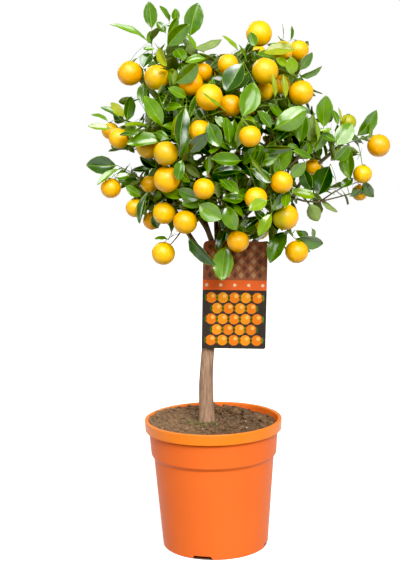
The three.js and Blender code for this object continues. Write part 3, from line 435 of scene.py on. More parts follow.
# The finer growth: more twigs on each mass's own wood, with smaller leaves that stand closer.
FINE = {
    "perMass": 24,
    "reaches": (0.97, 0.82, 0.64, 0.45),
    "shortest": 9,
    "base": 1.0,
    "lengths": (31, 50),
    "spacing": 7,
    "tries": 9,
}
SQUAT = 0.94  # a fruit's height, as a share of its width
BEAD_STEP = 3
# Room kept round things, and how far off they may be to be looked at for it.
CLEAR = {
    "limb": 0.3,
    "fruit": 0.8,
    "leaf": 2.5,
    "ownLimb": 0.4,
    "ownLeaf": 0.5,
    "backFruit": 1.5,
    "root": 9,
    "past": 8,
    "nearLimb": 4,
    "nearLeaf": 2.2,
}
# Numbers that keep the draws for one kind of thing apart from those for another.
KEYS = {
    "blade": 60,
    "backFruit": 80,
    "stalk": 400,
    "shoot": 500,
    "sprig": 700,
    "stem": 900,
    "fine": 2000,
    "more": 3000,
}

CARD = {
    "width": 87,
    "height": 147,
    "thickness": 0.8,
    "corner": 7,
    "footCorner": 3,
    "tilt": 2.1,
    "centre": (32.3, -14, 351),
    "holeRadius": 3,
    "holeDrop": 8,
    "beadStep": 8,
    "clear": 6,
}
# The tie loops round the leader at a share of its length.
TIE = {"radius": 0.9, "share": 0.13, "slack": 2.6, "lift": 1.7}

# ---------- numbers and curves ----------

MASK = 0xFFFFFFFF
ROUND = 6.3  # a full turn or a little more, for phases that are drawn


def dice(*keys):
    """A number from 0 to 1 that depends only on the whole numbers given. They say what it is drawn for,
    and one of them tells apart the draws for the same thing."""
    h = 0x2545F491
    for key in keys:
        h = ((h ^ ((key + 0x9E3779B9) & MASK)) * 0x85EBCA6B) & MASK
        h ^= h >> 13
        h = (h * 0xC2B2AE35) & MASK
        h ^= h >> 16
    return h / 2**32


def chance(low, high, *keys):
    return lerp(low, high, dice(*keys))


def vec(*numbers):
    return np.array(numbers, float)


def lerp(a, b, t):
    return a + (b - a) * t


def unit(v):
    return v / np.linalg.norm(v)


def turned(v, axis, angle):
    """v turned about a unit axis."""
    c, s = math.cos(angle), math.sin(angle)
    return v * c + np.cross(axis, v) * s + axis * (axis @ v) * (1 - c)


def polar(radius, angle):
    return radius * np.cos(angle), radius * np.sin(angle)


def bezier(start, bend, end, count):
    t = np.linspace(0, 1, count + 1)[:, None]
    return start * (1 - t) ** 2 + bend * 2 * t * (1 - t) + end * t**2


def spline(points, shares):
    """Points on the centripetal Catmull-Rom curve through the given points."""
    p = np.array(points, float)
    p = np.vstack([2 * p[0] - p[1], p, 2 * p[-1] - p[-2]])
    last = len(points) - 1
    made = []
    for share in shares:
        k = min(int(share * last), last - 1)
        t = share * last - k
        a, b, c, d = p[k : k + 4]
        dt = [float((q - r) @ (q - r)) ** 0.25 for q, r in ((a, b), (b, c), (c, d))]
        m1 = ((b - a) / dt[0] - (c - a) / (dt[0] + dt[1]) + (c - b) / dt[1]) * dt[1]
        m2 = ((c - b) / dt[1] - (d - b) / (dt[1] + dt[2]) + (d - c) / dt[2]) * dt[1]
        curve = b + m1 * t + (3 * (c - b) - 2 * m1 - m2) * t**2
        made.append(curve + (2 * (b - c) + m1 + m2) * t**3)
    return np.array(made)


Place = namedtuple("Place", "at radius along")  # a place on a limb, its radius there and its direction
# How a sprig looks: tone, share of the usual width, depth of its fold, turn about its rib.
Look = namedtuple("Look", "tone share fold turn", defaults=(0.2, 0))


class Limb:
    """A row of points along a limb's middle, with a radius at each."""

    def __init__(self, points, radii, key=0):
        self.points = np.array(points, float)
        self.radii = np.array(radii, float)
        self.key = key
        self.length = float(np.linalg.norm(np.diff(self.points, axis=0), axis=1).sum())

    def place(self, share):
        """The place at a share of the way from the limb's foot to its tip."""
        last = len(self.points) - 1
        at = min(max(share, 0), 1) * last
        k = min(int(at), last - 1)
        step = self.points[k + 1] - self.points[k]
        radius = lerp(self.radii[k], self.radii[k + 1], at - k)
        return Place(self.points[k] + step * (at - k), radius, unit(step))

    def beads(self):
        """Balls along the limb, close enough to stand for it: their middles and their radii."""
        count = math.ceil(self.length / BEAD_STEP)
        at = np.linspace(0, len(self.points) - 1, count + 1)
        rows = np.arange(len(self.points))
        places = np.stack([np.interp(at, rows, self.points[:, axis]) for axis in range(3)], axis=1)
        return places, np.interp(at, rows, self.radii)


class Table:
    """Rows of named numbers, kept as arrays that double when they are full."""

    def __init__(self, **shapes):
        self.count = 0
        self.columns = {name: np.zeros((64, *shape)) for name, shape in shapes.items()}

    def add(self, **row):
        if self.count == len(next(iter(self.columns.values()))):
            for name, column in self.columns.items():
                self.columns[name] = np.concatenate([column, np.zeros_like(column)])
        for name, value in row.items():
            self.columns[name][self.count] = value
        self.count += 1

    def __getitem__(self, name):
        return self.columns[name][: self.count]


# ---------- limbs ----------


def trunk_centres(shares):
    heights = TRUNK["centreZ"]
    points = [(x, 0, TRUNK["foot"] + z) for x, z in zip(TRUNK["centreX"], heights)]
    return spline(points, shares)


def trunk_radius(share):
    height = TRUNK["fork"] - TRUNK["foot"]
    flare = TRUNK["flare"] * np.exp(-share * height / TRUNK["flareHeight"])
    return lerp(TRUNK["diameter"], TRUNK["forkDiameter"], share) / 2 + flare


def all_limbs():
    shares = np.arange(TRUNK["steps"] + 1) / TRUNK["steps"]
    limbs = {"trunk": Limb(trunk_centres(shares), trunk_radius(shares))}
    for name, (parent, at, bend, tip, base, end) in BOUGHS.items():
        start = limbs[parent].place(at).at
        shares = np.arange(BOUGH_STEPS + 1) / BOUGH_STEPS
        limbs[name] = Limb(bezier(start, vec(*bend), vec(*tip), BOUGH_STEPS), lerp(base, end, shares))
    return limbs


# ---------- leaves as flat plates, for the growing rule ----------

# Places on a plate, as shares of its length and of its half width: the corners of its rim, and marks
# all over it.
SHOULDER, TAIL = LEAF["shoulder"], LEAF["tail"]
RIM_SHARES = ((0, 0), (SHOULDER, 1), (TAIL, 1), (1, 0), (TAIL, -1), (SHOULDER, -1))
MARK_SHARES = [(0, 0), (1, 0)]
MARK_SHARES += [(s, side) for s in (0.15, SHOULDER, 0.42, 0.55, TAIL, 0.85) for side in (1, -1)]
MARK_SHARES += [(s, 0) for s in (0.3, 0.5, 0.7)]
EDGES = ((0, 1), (1, 2), (2, 3), (3, 4), (4, 5), (5, 0), (0, 3))  # the rim's edges and its rib


class Leaf:
    """A leaf as a flat plate: where it stands, its own axes and its size."""

    def __init__(self, base, tip, face, width, mass, keys, look=None):
        self.base = base
        self.length = float(np.linalg.norm(tip - base))
        self.along = (tip - base) / self.length
        self.up = unit(face - self.along * (face @ self.along))
        self.across = np.cross(self.up, self.along)
        self.width = width
        self.mass = mass
        self.keys = keys
        self.look = look
        self.is_sprig = look is not None

    def middle(self):
        return self.at([(0.5, 0)])[0]

    def at(self, shares):
        s = np.array(shares, float)
        half = half_width(s[:, 0] * self.length, self.length, self.width)
        up_the_rib = self.along * (s[:, :1] * self.length)
        return self.base + up_the_rib + self.across * (s[:, 1] * half)[:, None]


def half_width(u, length, width):
    """Half of a plate's width at a distance u from its base."""
    share = u / length
    widest = np.minimum(share / SHOULDER, (1 - share) / (1 - TAIL))
    return width / 2 * np.minimum(1, widest)


def plate_gap(places, base, along, across, length, width):
    """Distances from places to leaf plates; all arguments broadcast."""
    d = places - base
    u = np.clip((d * along).sum(-1), 0, length)
    half = half_width(u, length, width)
    v = np.clip((d * across).sum(-1), -half, half)
    return np.linalg.norm(d - along * u[..., None] - across * v[..., None], axis=-1)


def gap_to(leaf, places):
    return plate_gap(places, leaf.base, leaf.along, leaf.across, leaf.length, leaf.width)


def pierced(rims, base, along, up, across, length, width):
    """Whether an edge of each rim passes through the plate it is set against."""
    first = rims[..., [a for a, _ in EDGES], :]
    second = rims[..., [b for _, b in EDGES], :]
    h0 = ((first - base) * up).sum(-1)
    h1 = ((second - base) * up).sum(-1)
    crosses = h0 * h1 < 0
    share = np.where(crosses, h0 / np.where(crosses, h0 - h1, 1), 0)
    d = first + (second - first) * share[..., None] - base
    u = (d * along).sum(-1)
    v = np.abs((d * across).sum(-1))
    inside = (u > 0) & (u < length) & (v < half_width(u, length, width))
    return (crosses & inside).any(-1)


# ---------- the crown ----------


class Mass:
    """One mass of foliage: a stem from its bough to its heart, and the twigs on that stem."""

    def __init__(self, number, name, bough, limb, bough_id, heart, reach):
        self.number = number
        self.name = name
        self.bough = bough
        self.bough_id = bough_id
        self.limb = limb
        self.heart = vec(*heart)
        self.reach = reach
        self.side = "back" if name.startswith("back") else "front"
        self.twigs = []
        self.stem = None


class Fruit:
    def __init__(self, at, radius, front, tone=None):
        self.at = at
        self.radius = radius
        self.front = front
        self.tone = tone
        self.hangs = False


class Crown:
    """What stands in the crown so far. Limbs, twigs and the card are rows of balls."""

    def __init__(self, limbs):
        self.limbs = limbs
        # A ball's owner is its mass's number, one of these for the trunk and boughs, or -1 for the card.
        self.ids = {name: 100 + k for k, name in enumerate(limbs)}
        self.beads = Table(at=(3,), radius=(), owner=())
        self.plates = Table(
            base=(3,), along=(3,), up=(3,), across=(3,), length=(), width=(),
            sprig=(), centre=(3,), rim=(len(RIM_SHARES), 3), marks=(len(MARK_SHARES), 3),
        )
        self.views = Table(at=(3,), radius=())
        self.leaves = []
        self.fruit = []
        self.masses = []

    def add_beads(self, limb, owner):
        for at, radius in zip(*limb.beads()):
            self.beads.add(at=at, radius=radius, owner=owner)

    def add_leaf(self, leaf):
        self.leaves.append(leaf)
        self.plates.add(
            base=leaf.base, along=leaf.along, up=leaf.up, across=leaf.across,
            length=leaf.length, width=leaf.width, sprig=leaf.is_sprig, centre=leaf.middle(),
            rim=leaf.at(RIM_SHARES), marks=leaf.at(MARK_SHARES),
        )

    def keep_leaves(self, kept):
        leaves, self.leaves, self.plates.count = list(kept), [], 0
        for leaf in leaves:
            self.add_leaf(leaf)

    def mass_at(self, place):
        return min(self.masses, key=lambda mass: np.linalg.norm(mass.heart - place))

    def limb_fits(self, limb, mass, bounded=True, fruit=None, leaf=None):
        """Whether a twig would stand clear of everything but the wood it grows from, and the fruit or
        the leaf it grows to. A bounded one keeps further away from the sprigs."""
        at, radius = limb.beads()
        for ball in self.fruit:
            if ball is fruit:
                continue
            if (np.linalg.norm(at - ball.at, axis=1) < ball.radius + radius + CLEAR["limb"]).any():
                return False
        middle = at.mean(0)
        span = np.linalg.norm(at - middle, axis=1).max()
        near = span + self.beads["radius"] + CLEAR["nearLimb"]
        close = np.linalg.norm(self.beads["at"] - middle, axis=1) < near
        beads, sizes, owners = (self.beads[name][close] for name in ("at", "radius", "owner"))
        apart = np.linalg.norm(at[:, None] - beads, axis=2)
        fresh = np.linalg.norm(at - limb.points[0], axis=1) < CLEAR["root"]
        own = (owners == mass.number) | (owners == mass.bough_id)
        hits = apart < sizes + radius[:, None] + CLEAR["limb"]
        if (hits & ~(fresh[:, None] & own)).any():
            return False
        if not self.leaves:
            return True
        p = self.plates
        close = np.linalg.norm(p["centre"] - middle, axis=1) < span + p["length"]
        if leaf is not None:
            close &= np.array([other is not leaf for other in self.leaves])
        if not close.any():
            return True
        base, along, across, length, width = (
            p[name][close] for name in ("base", "along", "across", "length", "width")
        )
        gaps = plate_gap(at[:, None], base, along, across, length, width)
        room = np.where(bounded * p["sprig"][close] > 0, CLEAR["leaf"], CLEAR["ownLeaf"])
        return not (gaps < radius[:, None] + room).any()

    def leaf_fits(self, leaf, mass):
        """Whether a leaf would stand clear of fruit, wood and other leaves. Only a sprig may pass its
        mass's reach, stand in a line of sight and come close to another sprig."""
        if not leaf.is_sprig:
            tip = leaf.at([(1, 0)])[0]
            if np.linalg.norm(tip - mass.heart) > mass.reach + CLEAR["past"]:
                return False
            if (gap_to(leaf, self.views["at"]) < self.views["radius"]).any():
                return False
        places = np.array([ball.at for ball in self.fruit])
        sizes = np.array([ball.radius for ball in self.fruit])
        if (gap_to(leaf, places) < sizes + CLEAR["fruit"]).any():
            return False
        centre = leaf.middle()
        beads = self.beads
        near = leaf.length / 2 + beads["radius"] + CLEAR["nearLimb"]
        close = np.linalg.norm(beads["at"] - centre, axis=1) < near
        at, radius, owner = (beads[name][close] for name in ("at", "radius", "owner"))
        own = owner == mass.number
        skip = own & (np.linalg.norm(at - leaf.base, axis=1) < CLEAR["root"])
        room = radius + np.where(own, CLEAR["ownLimb"], CLEAR["limb"])
        if ((gap_to(leaf, at) < room) & ~skip).any():
            return False
        p = self.plates
        if not p.count:
            return True
        near = (leaf.length + p["length"]) / 2 + CLEAR["nearLeaf"]
        close = np.linalg.norm(p["centre"] - centre, axis=1) < near
        if not close.any():
            return True
        names = ("base", "along", "up", "across", "length", "width")
        base, along, up, across, length, width = (p[name][close] for name in names)
        rim = leaf.at(RIM_SHARES)
        lead = (slice(None), None)
        sized = (base[lead], along[lead], up[lead], across[lead], length[lead], width[lead])
        if pierced(rim[None], *sized).any():
            return False
        one = (leaf.base, leaf.along, leaf.up, leaf.across, leaf.length, leaf.width)
        if pierced(p["rim"][close], *one).any():
            return False
        sprigs = p["sprig"][close] > 0
        if leaf.is_sprig or not sprigs.any():
            return True
        plates = [values[sprigs][lead] for values in (base, along, across, length, width)]
        if (plate_gap(leaf.at(MARK_SHARES)[None], *plates) < CLEAR["leaf"]).any():
            return False
        return not (gap_to(leaf, p["marks"][close][sprigs]) < CLEAR["leaf"]).any()

    # --- twigs ---

    def route(self, start, end, thick, fits, keys):
        """A twig from a place on a limb to its end, tried with one bend after another until it fits."""
        span = np.linalg.norm(end - start.at)
        base = min(thick, start.radius * TWIG["share"])
        for n in range(TWIG["tries"]):
            stray = vec(*[dice(*keys, n, axis) - 0.5 for axis in (1, 2, 3)])
            bend = lerp(start.at, end, TWIG["bendAt"]) + start.along * span * TWIG["bend"]
            bend = bend + stray * span * TWIG["bend"] * n
            shares = np.arange(TWIG["steps"] + 1) / TWIG["steps"]
            radii = [twig_radius(share, base, start) for share in shares]
            limb = Limb(bezier(start.at, bend, end, TWIG["steps"]), radii)
            if fits(limb):
                return limb
        return None

    def add_twig(self, mass, limb, key):
        limb.key = key
        mass.twigs.append(limb)
        self.add_beads(limb, mass.number)

    def starts_near(self, mass, place):
        """Places on a mass's own wood where a shoot may leave it, nearest first."""
        places = [mass.stem.place(share) for share in STEM["shares"]]
        places += [twig.place(share) for twig in mass.twigs for share in TWIG["shares"]]
        taken = np.array([twig.points[0] for twig in mass.twigs]).reshape(-1, 3)
        free = [p for p in places if (np.linalg.norm(taken - p.at, axis=1) > TWIG["apart"]).all()]
        return sorted(free, key=lambda p: float(np.linalg.norm(p.at - place)))

    def grow_stem(self, mass, place):
        """A stem from the bough to the mass's heart. One that fits nowhere runs straight."""
        start = mass.limb.place(STEM["first"] - STEM["step"] * place)
        fits = lambda limb: self.limb_fits(limb, mass, bounded=False)
        stem = self.route(start, mass.heart, STEM["base"], fits, (mass.number, KEYS["stem"]))
        if stem is None:
            steps = TWIG["steps"]
            points = [lerp(start.at, mass.heart, k / steps) for k in range(steps + 1)]
            stem = Limb(points, [STEM["base"]] * (steps + 1))
        stem.key = KEYS["stem"]
        mass.stem = stem
        self.add_beads(stem, mass.number)

    def back_fruit(self, mass):
        for k in range(BACK_FRUIT["perMass"]):
            key = (mass.number, k)
            turn, tilt, radius = (
                chance(*BACK_FRUIT[name], *key, KEYS["backFruit"] + n)
                for n, name in enumerate(("turn", "tilt", "radius"), 1)
            )
            way = turned(turned(vec(0, 1, 0), vec(1, 0, 0), tilt * DEGREE), UP, -turn * DEGREE)
            at = mass.heart + way * mass.reach * BACK_FRUIT["depth"]
            balls = [(f.at, f.radius) for f in self.fruit]
            balls += list(zip(self.beads["at"], self.beads["radius"]))
            room = radius + CLEAR["backFruit"]
            if all(np.linalg.norm(place - at) > size + room for place, size in balls):
                self.fruit.append(Fruit(at, radius, False))

    def grow_sprigs(self, sprigs, key, thick):
        """The sprigs take their places first, then a twig reaches each from its mass. One that stands
        close to its mass's wood needs no twig, and one that no twig can reach is left out."""
        waiting = []
        for number, (base, tip, turn, *look) in enumerate(sprigs):
            start, end = vec(*base), vec(*tip)
            along = unit(end - start)
            face = turned(unit(FRONT - start), along, turn * DEGREE)
            width = np.linalg.norm(end - start) * chance(*LEAF["sprigWidths"], number, key)
            mass = self.mass_at(lerp(start, end, LEAF["belongsAt"]))
            leaf = Leaf(start, end, face, width, mass.number, (number, key), Look(*look))
            if self.leaf_fits(leaf, mass):
                self.add_leaf(leaf)
                waiting.append(leaf)
        dropped = set()
        for leaf in waiting:
            mass = self.masses[leaf.mass]
            end = leaf.base + leaf.along * LEAF["root"]
            fits = lambda limb: self.limb_fits(limb, mass, bounded=False, leaf=leaf)
            for start in self.starts_near(mass, end):
                if np.linalg.norm(start.at - end) < TWIG["apart"]:
                    break
                limb = self.route(start, end, thick, fits, leaf.keys)
                if limb is not None:
                    self.add_twig(mass, limb, leaf.keys[0])
                    break
            else:
                dropped.add(id(leaf))
        self.keep_leaves(leaf for leaf in self.leaves if id(leaf) not in dropped)

    def hang_fruit(self):
        """A stalk from the nearest free place comes down on each fruit. One that none reaches is left
        out."""
        for number, fruit in enumerate(self.fruit):
            top = fruit.at + UP * (fruit.radius * SQUAT - STALK["sink"])
            above = fruit.at + UP * (fruit.radius + STALK["lift"])
            mass = self.mass_at(above)
            for start in self.starts_near(mass, above):
                bend = lerp(above, start.at, STALK["bendAt"])
                base = min(STALK["base"], start.radius * TWIG["share"])
                shares = np.arange(TWIG["steps"] + 1) / TWIG["steps"]
                radii = [twig_radius(min(share, STALK["slimmest"]), base, start) for share in shares]
                limb = Limb(bezier(start.at, bend, top, TWIG["steps"]), radii)
                if self.limb_fits(limb, mass, bounded=False, fruit=fruit):
                    self.add_twig(mass, limb, KEYS["stalk"] + number)
                    fruit.hangs = True
                    break
        self.fruit = [fruit for fruit in self.fruit if fruit.hangs]

    def open_view(self, at, radius, first, last=VIEW["reach"]):
        """Keeps a line of sight open through a place, from one distance to another in front of it."""
        out = unit(FRONT - at)
        for d in np.arange(first, last, VIEW["step"]):
            self.views.add(at=at + out * d, radius=radius)

    def open_views(self):
        """The sprigs and the fruit in front stay in sight, and so does the sky."""
        for fruit in self.fruit:
            if fruit.front:
                self.open_view(fruit.at, fruit.radius * VIEW["fruit"], fruit.radius)
        for x, z, radius in SKY:
            self.open_view(vec(x, 0, z), radius, -CROWN_HALF_DEPTH, CROWN_HALF_DEPTH + 1)
        for leaf in self.leaves:
            for place in leaf.at([(share, 0) for share in VIEW["alongLeaf"]]):
                self.open_view(place, leaf.width * VIEW["leaf"], VIEW["step"])

    def in_view(self, limb):
        gaps = np.linalg.norm(limb.points[:, None] - self.views["at"], axis=2)
        return (gaps < self.views["radius"]).any()

    def grow_shoots(self, mass, wanted, rule, thick, key):
        """Twigs spread evenly round a mass's heart, each as long as it can be of the lengths given."""
        golden = math.pi * (3 - math.sqrt(5))
        out = unit(mass.heart - MIDDLE)
        number = mass.number
        fits = lambda limb: self.limb_fits(limb, mass) and not self.in_view(limb)
        for k in range(wanted):
            z = 1 - (2 * k + 1) / wanted
            turn = golden * k + number
            ring = math.sqrt(1 - z * z)
            way = vec(math.cos(turn) * ring, math.sin(turn) * ring, z)
            way = unit(way + out * SHOOTS["outward"] + UP * SHOOTS["upward"])
            base_keys = (number, k) if key == KEYS["shoot"] else (number, k, key)
            for share in rule["reaches"]:
                reach = mass.reach * share * chance(SHOOTS["vary"], 1, *base_keys, 1)
                end = mass.heart + way * reach
                starts = self.starts_near(mass, end)
                pick = int(dice(*base_keys, 2) * SHOOTS["starts"])
                if pick >= len(starts) or np.linalg.norm(starts[pick].at - end) < rule["shortest"]:
                    continue
                limb = self.route(starts[pick], end, thick, fits, base_keys)
                if limb is not None:
                    self.add_twig(mass, limb, key + k)
                    break

    def grow_leaves(self, mass, twigs, rule):
        """Leaves stand round each twig by the golden angle, their faces up and outwards."""
        for twig in twigs:
            is_stalk = KEYS["stalk"] <= twig.key < KEYS["shoot"]
            kind = "onStem" if twig is mass.stem else "onStalk" if is_stalk else "onTwig"
            lowest, highest = LEAF[kind]
            count = max(1, int(twig.length / rule["spacing"]))
            for n in range(count + 1):
                share = 1 - n / (count + LEAF["last"]) - LEAF["root"] / twig.length
                if share < lowest or share > highest:
                    continue
                place = twig.place(share)
                starts = np.array([other.points[0] for other in mass.twigs]).reshape(-1, 3)
                if (np.linalg.norm(starts - place.at, axis=1) < LEAF["apart"]).any():
                    continue
                keys = (mass.number, twig.key, n)
                is_end = n == 0 and not is_stalk
                for attempt in range(rule["tries"]):
                    leaf = self.leaf_on(place, is_end, keys, attempt, rule["lengths"])
                    if self.leaf_fits(leaf, mass):
                        self.add_leaf(leaf)
                        break

    def leaf_on(self, place, is_end, keys, attempt, lengths):
        """The leaf at a twig's end runs on from it, the others stand off to the side."""
        draw = lambda low, high, axis: chance(low, high, *keys, attempt, axis)
        spread = (LEAF["endSpread"] if is_end else draw(*LEAF["spread"], 2)) * DEGREE
        side = np.cross(UP, place.along)
        is_upright = np.linalg.norm(side) < 0.1
        side = vec(1, 0, 0) if is_upright else unit(side)
        side = turned(side, place.along, (LEAF["turn"] * keys[2] + draw(0, 360, 1)) * DEGREE)
        way = place.along * math.cos(spread) + side * math.sin(spread)
        face = UP * LEAF["upward"] + unit(place.at - MIDDLE) * LEAF["outward"]
        face = turned(face, way, draw(-LEAF["sway"], LEAF["sway"], 3) * DEGREE)
        length = draw(*lengths, 4) * (1 - LEAF["shrink"] * attempt)
        width = length * LEAF["width"] * draw(*LEAF["widths"], 5)
        return Leaf(place.at, place.at + way * length, face, width, keys[0], keys)

    def grow(self):
        for name, limb in self.limbs.items():
            self.add_beads(limb, self.ids[name])
        for at in card_marks():
            self.beads.add(at=at, radius=CARD["clear"], owner=-1)
        for x, y, z, radius, *tone in FRUIT:
            self.fruit.append(Fruit(vec(x, y, z), radius, True, *tone))
        for number, (name, (bough, heart, reach)) in enumerate(MASSES.items()):
            limb = self.limbs[bough]
            self.masses.append(Mass(number, name, bough, limb, self.ids[bough], heart, reach))
        carried = {}
        for mass in self.masses:
            carried[mass.bough] = carried.get(mass.bough, -1) + 1
            self.grow_stem(mass, carried[mass.bough])
        for mass in self.masses:
            if mass.side == "back":
                self.back_fruit(mass)
        self.grow_sprigs(SPRIGS, KEYS["sprig"], TWIG["base"])
        self.hang_fruit()
        self.grow_sprigs(MORE_SPRIGS, KEYS["more"], FINE["base"])
        self.open_views()
        for mass in self.masses:
            wanted = max(SHOOTS["least"], SHOOTS["perMass"] - len(mass.twigs))
            self.grow_shoots(mass, wanted, SHOOTS, TWIG["base"], KEYS["shoot"])
        for mass in self.masses:
            self.grow_leaves(mass, [mass.stem, *mass.twigs], LEAF)
        self.grow_finer()

    def grow_finer(self):
        """The same rule once more, for finer twigs between the first ones. Those without leaves go."""
        first = [len(mass.twigs) for mass in self.masses]
        for mass in self.masses:
            self.grow_shoots(mass, FINE["perMass"], FINE, FINE["base"], KEYS["fine"])
        for mass in self.masses:
            self.grow_leaves(mass, mass.twigs[first[mass.number] :], FINE)
        leafy = {leaf.keys[:2] for leaf in self.leaves if not leaf.is_sprig}
        for mass in self.masses:
            is_kept = lambda twig: twig.key < KEYS["fine"] or (mass.number, twig.key) in leafy
            mass.twigs = [twig for twig in mass.twigs if is_kept(twig)]


def twig_radius(share, base, start):
    """A twig's thickness along it: slim where it starts inside its parent, then tapering."""
    if share == 0:
        return min(base, start.radius * TWIG["root"])
    return base * (1 - TWIG["taper"] * share if share < 1 else TWIG["end"])


# ---------- the label's place ----------


def card_place(x, y, lift=0.0):
    """A point of the card: x to its right, y up from its middle, lift out of its front."""
    tilt = CARD["tilt"] * DEGREE
    return vec(
        x * math.cos(tilt) + y * math.sin(tilt) + CARD["centre"][0],
        CARD["centre"][1] - lift,
        y * math.cos(tilt) - x * math.sin(tilt) + CARD["centre"][2],
    )


def card_marks():
    """Places all over the card, which the crown keeps clear of."""
    right, top, step = CARD["width"] / 2, CARD["height"] / 2, CARD["beadStep"]
    xs = np.arange(-right, right + 1e-6, step)
    ys = np.arange(-top, top + 1e-6, step)
    return [card_place(x, y) for x in xs for y in ys]


# ---------- joined meshes ----------


class Build:
    """Vertices and faces of one joined piece, with a material slot for each face."""

    def __init__(self):
        self.vertices = []
        self.faces = []
        self.slots = []
        self.count = 0

    def add(self, vertices, faces, slots):
        """Slots is one for each face, or one for all of them."""
        self.vertices.append(np.asarray(vertices, float))
        self.faces += [tuple(int(k) + self.count for k in face) for face in faces]
        self.slots += list(slots) if hasattr(slots, "__len__") else [slots] * len(faces)
        self.count += len(vertices)

    def piece(self, name, materials, nodes, slot, smooth=True):
        """The piece as an object that stands for the CAD nodes given, if any."""
        mesh = bpy.data.meshes.new(name)
        mesh.from_pydata((np.vstack(self.vertices) * MM).tolist(), [], self.faces)
        for made in materials:
            mesh.materials.append(made)
        mesh.polygons.foreach_set("material_index", np.array(self.slots, np.int32))
        mesh.polygons.foreach_set("use_smooth", np.full(len(self.faces), smooth))
        turn_faces_out(mesh)
        piece = bpy.data.objects.new(name, mesh)
        bpy.context.scene.collection.objects.link(piece)
        if nodes:
            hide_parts(*nodes)
        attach(piece, "root")
        return piece


def turn_faces_out(mesh):
    """Makes every face look out of its solid."""
    shape = bmesh.new()
    shape.from_mesh(mesh)
    bmesh.ops.recalc_face_normals(shape, faces=shape.faces)
    shape.to_mesh(mesh)
    shape.free()


def smoother(points, radii, count):
    """A limb of three points as the finer curve they came from."""
    if len(points) != 3:
        return points, radii
    bend = 2 * points[1] - (points[0] + points[2]) / 2
    fine = bezier(points[0], bend, points[2], count)
    return fine, np.interp(np.linspace(0, 2, count + 1), [0, 1, 2], radii)


def tube(points, radii, sides, swell=None):
    """A closed tube along points: rings of vertices, with a cap at each end."""
    points = np.asarray(points, float)
    last = len(points) - 1
    is_upright = abs(unit(points[1] - points[0])[2]) >= 0.9
    side = vec(1, 0, 0) if is_upright else UP
    angles = np.arange(sides) * 2 * math.pi / sides
    rings = []
    for k in range(last + 1):
        along = unit(points[min(k + 1, last)] - points[max(k - 1, 0)])
        side = unit(side - along * (side @ along))
        third = np.cross(side, along)
        radius = radii[k] * (swell(angles, k / last, points[k]) if swell else 1)
        x, y = polar(radius, angles)
        rings.append(points[k] + side * x[:, None] + third * y[:, None])
    faces = ring_faces(last + 1, sides)
    faces.append(tuple(range(sides)))
    faces.append(tuple(last * sides + k for k in reversed(range(sides))))
    return np.vstack(rings), faces


def ring_faces(rings, sides):
    """The quads between rings that follow each other, facing out."""
    faces = []
    for k in range(rings - 1):
        for i in range(sides):
            j = (i + 1) % sides
            faces.append((k * sides + i, (k + 1) * sides + i, (k + 1) * sides + j, k * sides + j))
    return faces


# ---------- materials ----------

# Where in the noise the darker and the lighter tone stand, and how rough the noise itself is.
DRIFT = {"dark": 0.36, "light": 0.64, "roughness": 0.6, "reliefDetail": 3}


def material(
    name, light, dark, roughness, scale, *, gloss=0.06, detail=5, grain=1.0,
    across=None, bump=(0, 0), **sockets,
):
    """A principled shader: its colour drifts between two tones, and its gloss and relief follow noise.

    Bump is the relief's height in millimetres and its noise scale. A grain below one draws the noise
    out along the upright. With across, a pair of places along x, the colour turns from dark to light
    between them."""
    made = bpy.data.materials.new(name)
    made.use_nodes = True
    tree = made.node_tree
    link = tree.links.new
    shader = tree.nodes["Principled BSDF"]

    def node(kind, **values):
        new = tree.nodes.new("ShaderNode" + kind)
        for socket, value in values.items():
            new.inputs[socket.replace("_", " ")].default_value = value
        return new

    drawn = node("Mapping", Scale=(1, 1, grain))
    place = node("TexCoord").outputs["Object"]
    link(place, drawn.inputs["Vector"])

    def noise(size, depth):
        new = node("TexNoise", Scale=size, Detail=depth, Roughness=DRIFT["roughness"])
        link(drawn.outputs["Vector"], new.inputs["Vector"])
        return new.outputs["Fac"]

    ramp = node("ValToRGB")
    for end, which, tone in zip(ramp.color_ramp.elements, ("dark", "light"), (dark, light)):
        end.position = DRIFT[which]
        end.color = (*tone, 1)
    drift = noise(scale, detail)
    if across:
        parts = node("SeparateXYZ")
        turn = node("MapRange", From_Min=across[0], From_Max=across[1])
        link(place, parts.inputs["Vector"])
        link(parts.outputs["X"], turn.inputs["Value"])
        link(turn.outputs["Result"], ramp.inputs["Fac"])
    else:
        link(drift, ramp.inputs["Fac"])
    link(ramp.outputs["Color"], shader.inputs["Base Color"])
    spread = node("MapRange", To_Min=max(roughness - gloss, 0.02), To_Max=min(roughness + gloss, 1))
    link(drift, spread.inputs["Value"])
    link(spread.outputs["Result"], shader.inputs["Roughness"])
    height, bump_scale = bump
    if height:
        relief = node("Bump", Distance=height * MM, Strength=1.0)
        link(noise(bump_scale, DRIFT["reliefDetail"]), relief.inputs["Height"])
        link(relief.outputs["Normal"], shader.inputs["Normal"])
    for socket, value in sockets.items():
        shader.inputs[socket.replace("_", " ")].default_value = value
    return made


LEAF_TONES = {
    "deep": ((0.032, 0.095, 0.003), (0.014, 0.050, 0.002)),
    "mid": ((0.085, 0.200, 0.003), (0.048, 0.135, 0.002)),
    "fresh": ((0.130, 0.275, 0.003), (0.088, 0.205, 0.002)),
    "bright": ((0.220, 0.350, 0.003), (0.155, 0.275, 0.002)),
    "young": ((0.370, 0.400, 0.005), (0.275, 0.330, 0.004)),
    "under": ((0.250, 0.330, 0.100), (0.180, 0.250, 0.070)),
    "rib": ((0.270, 0.420, 0.035), (0.200, 0.340, 0.025)),
}
SHINY = {"Coat_Weight": 1.0, "Coat_Roughness": 0.15, "Coat_IOR": 1.55, "Specular_IOR_Level": 0.1}
PLAIN = {**SHINY, "Coat_Weight": 0.0}


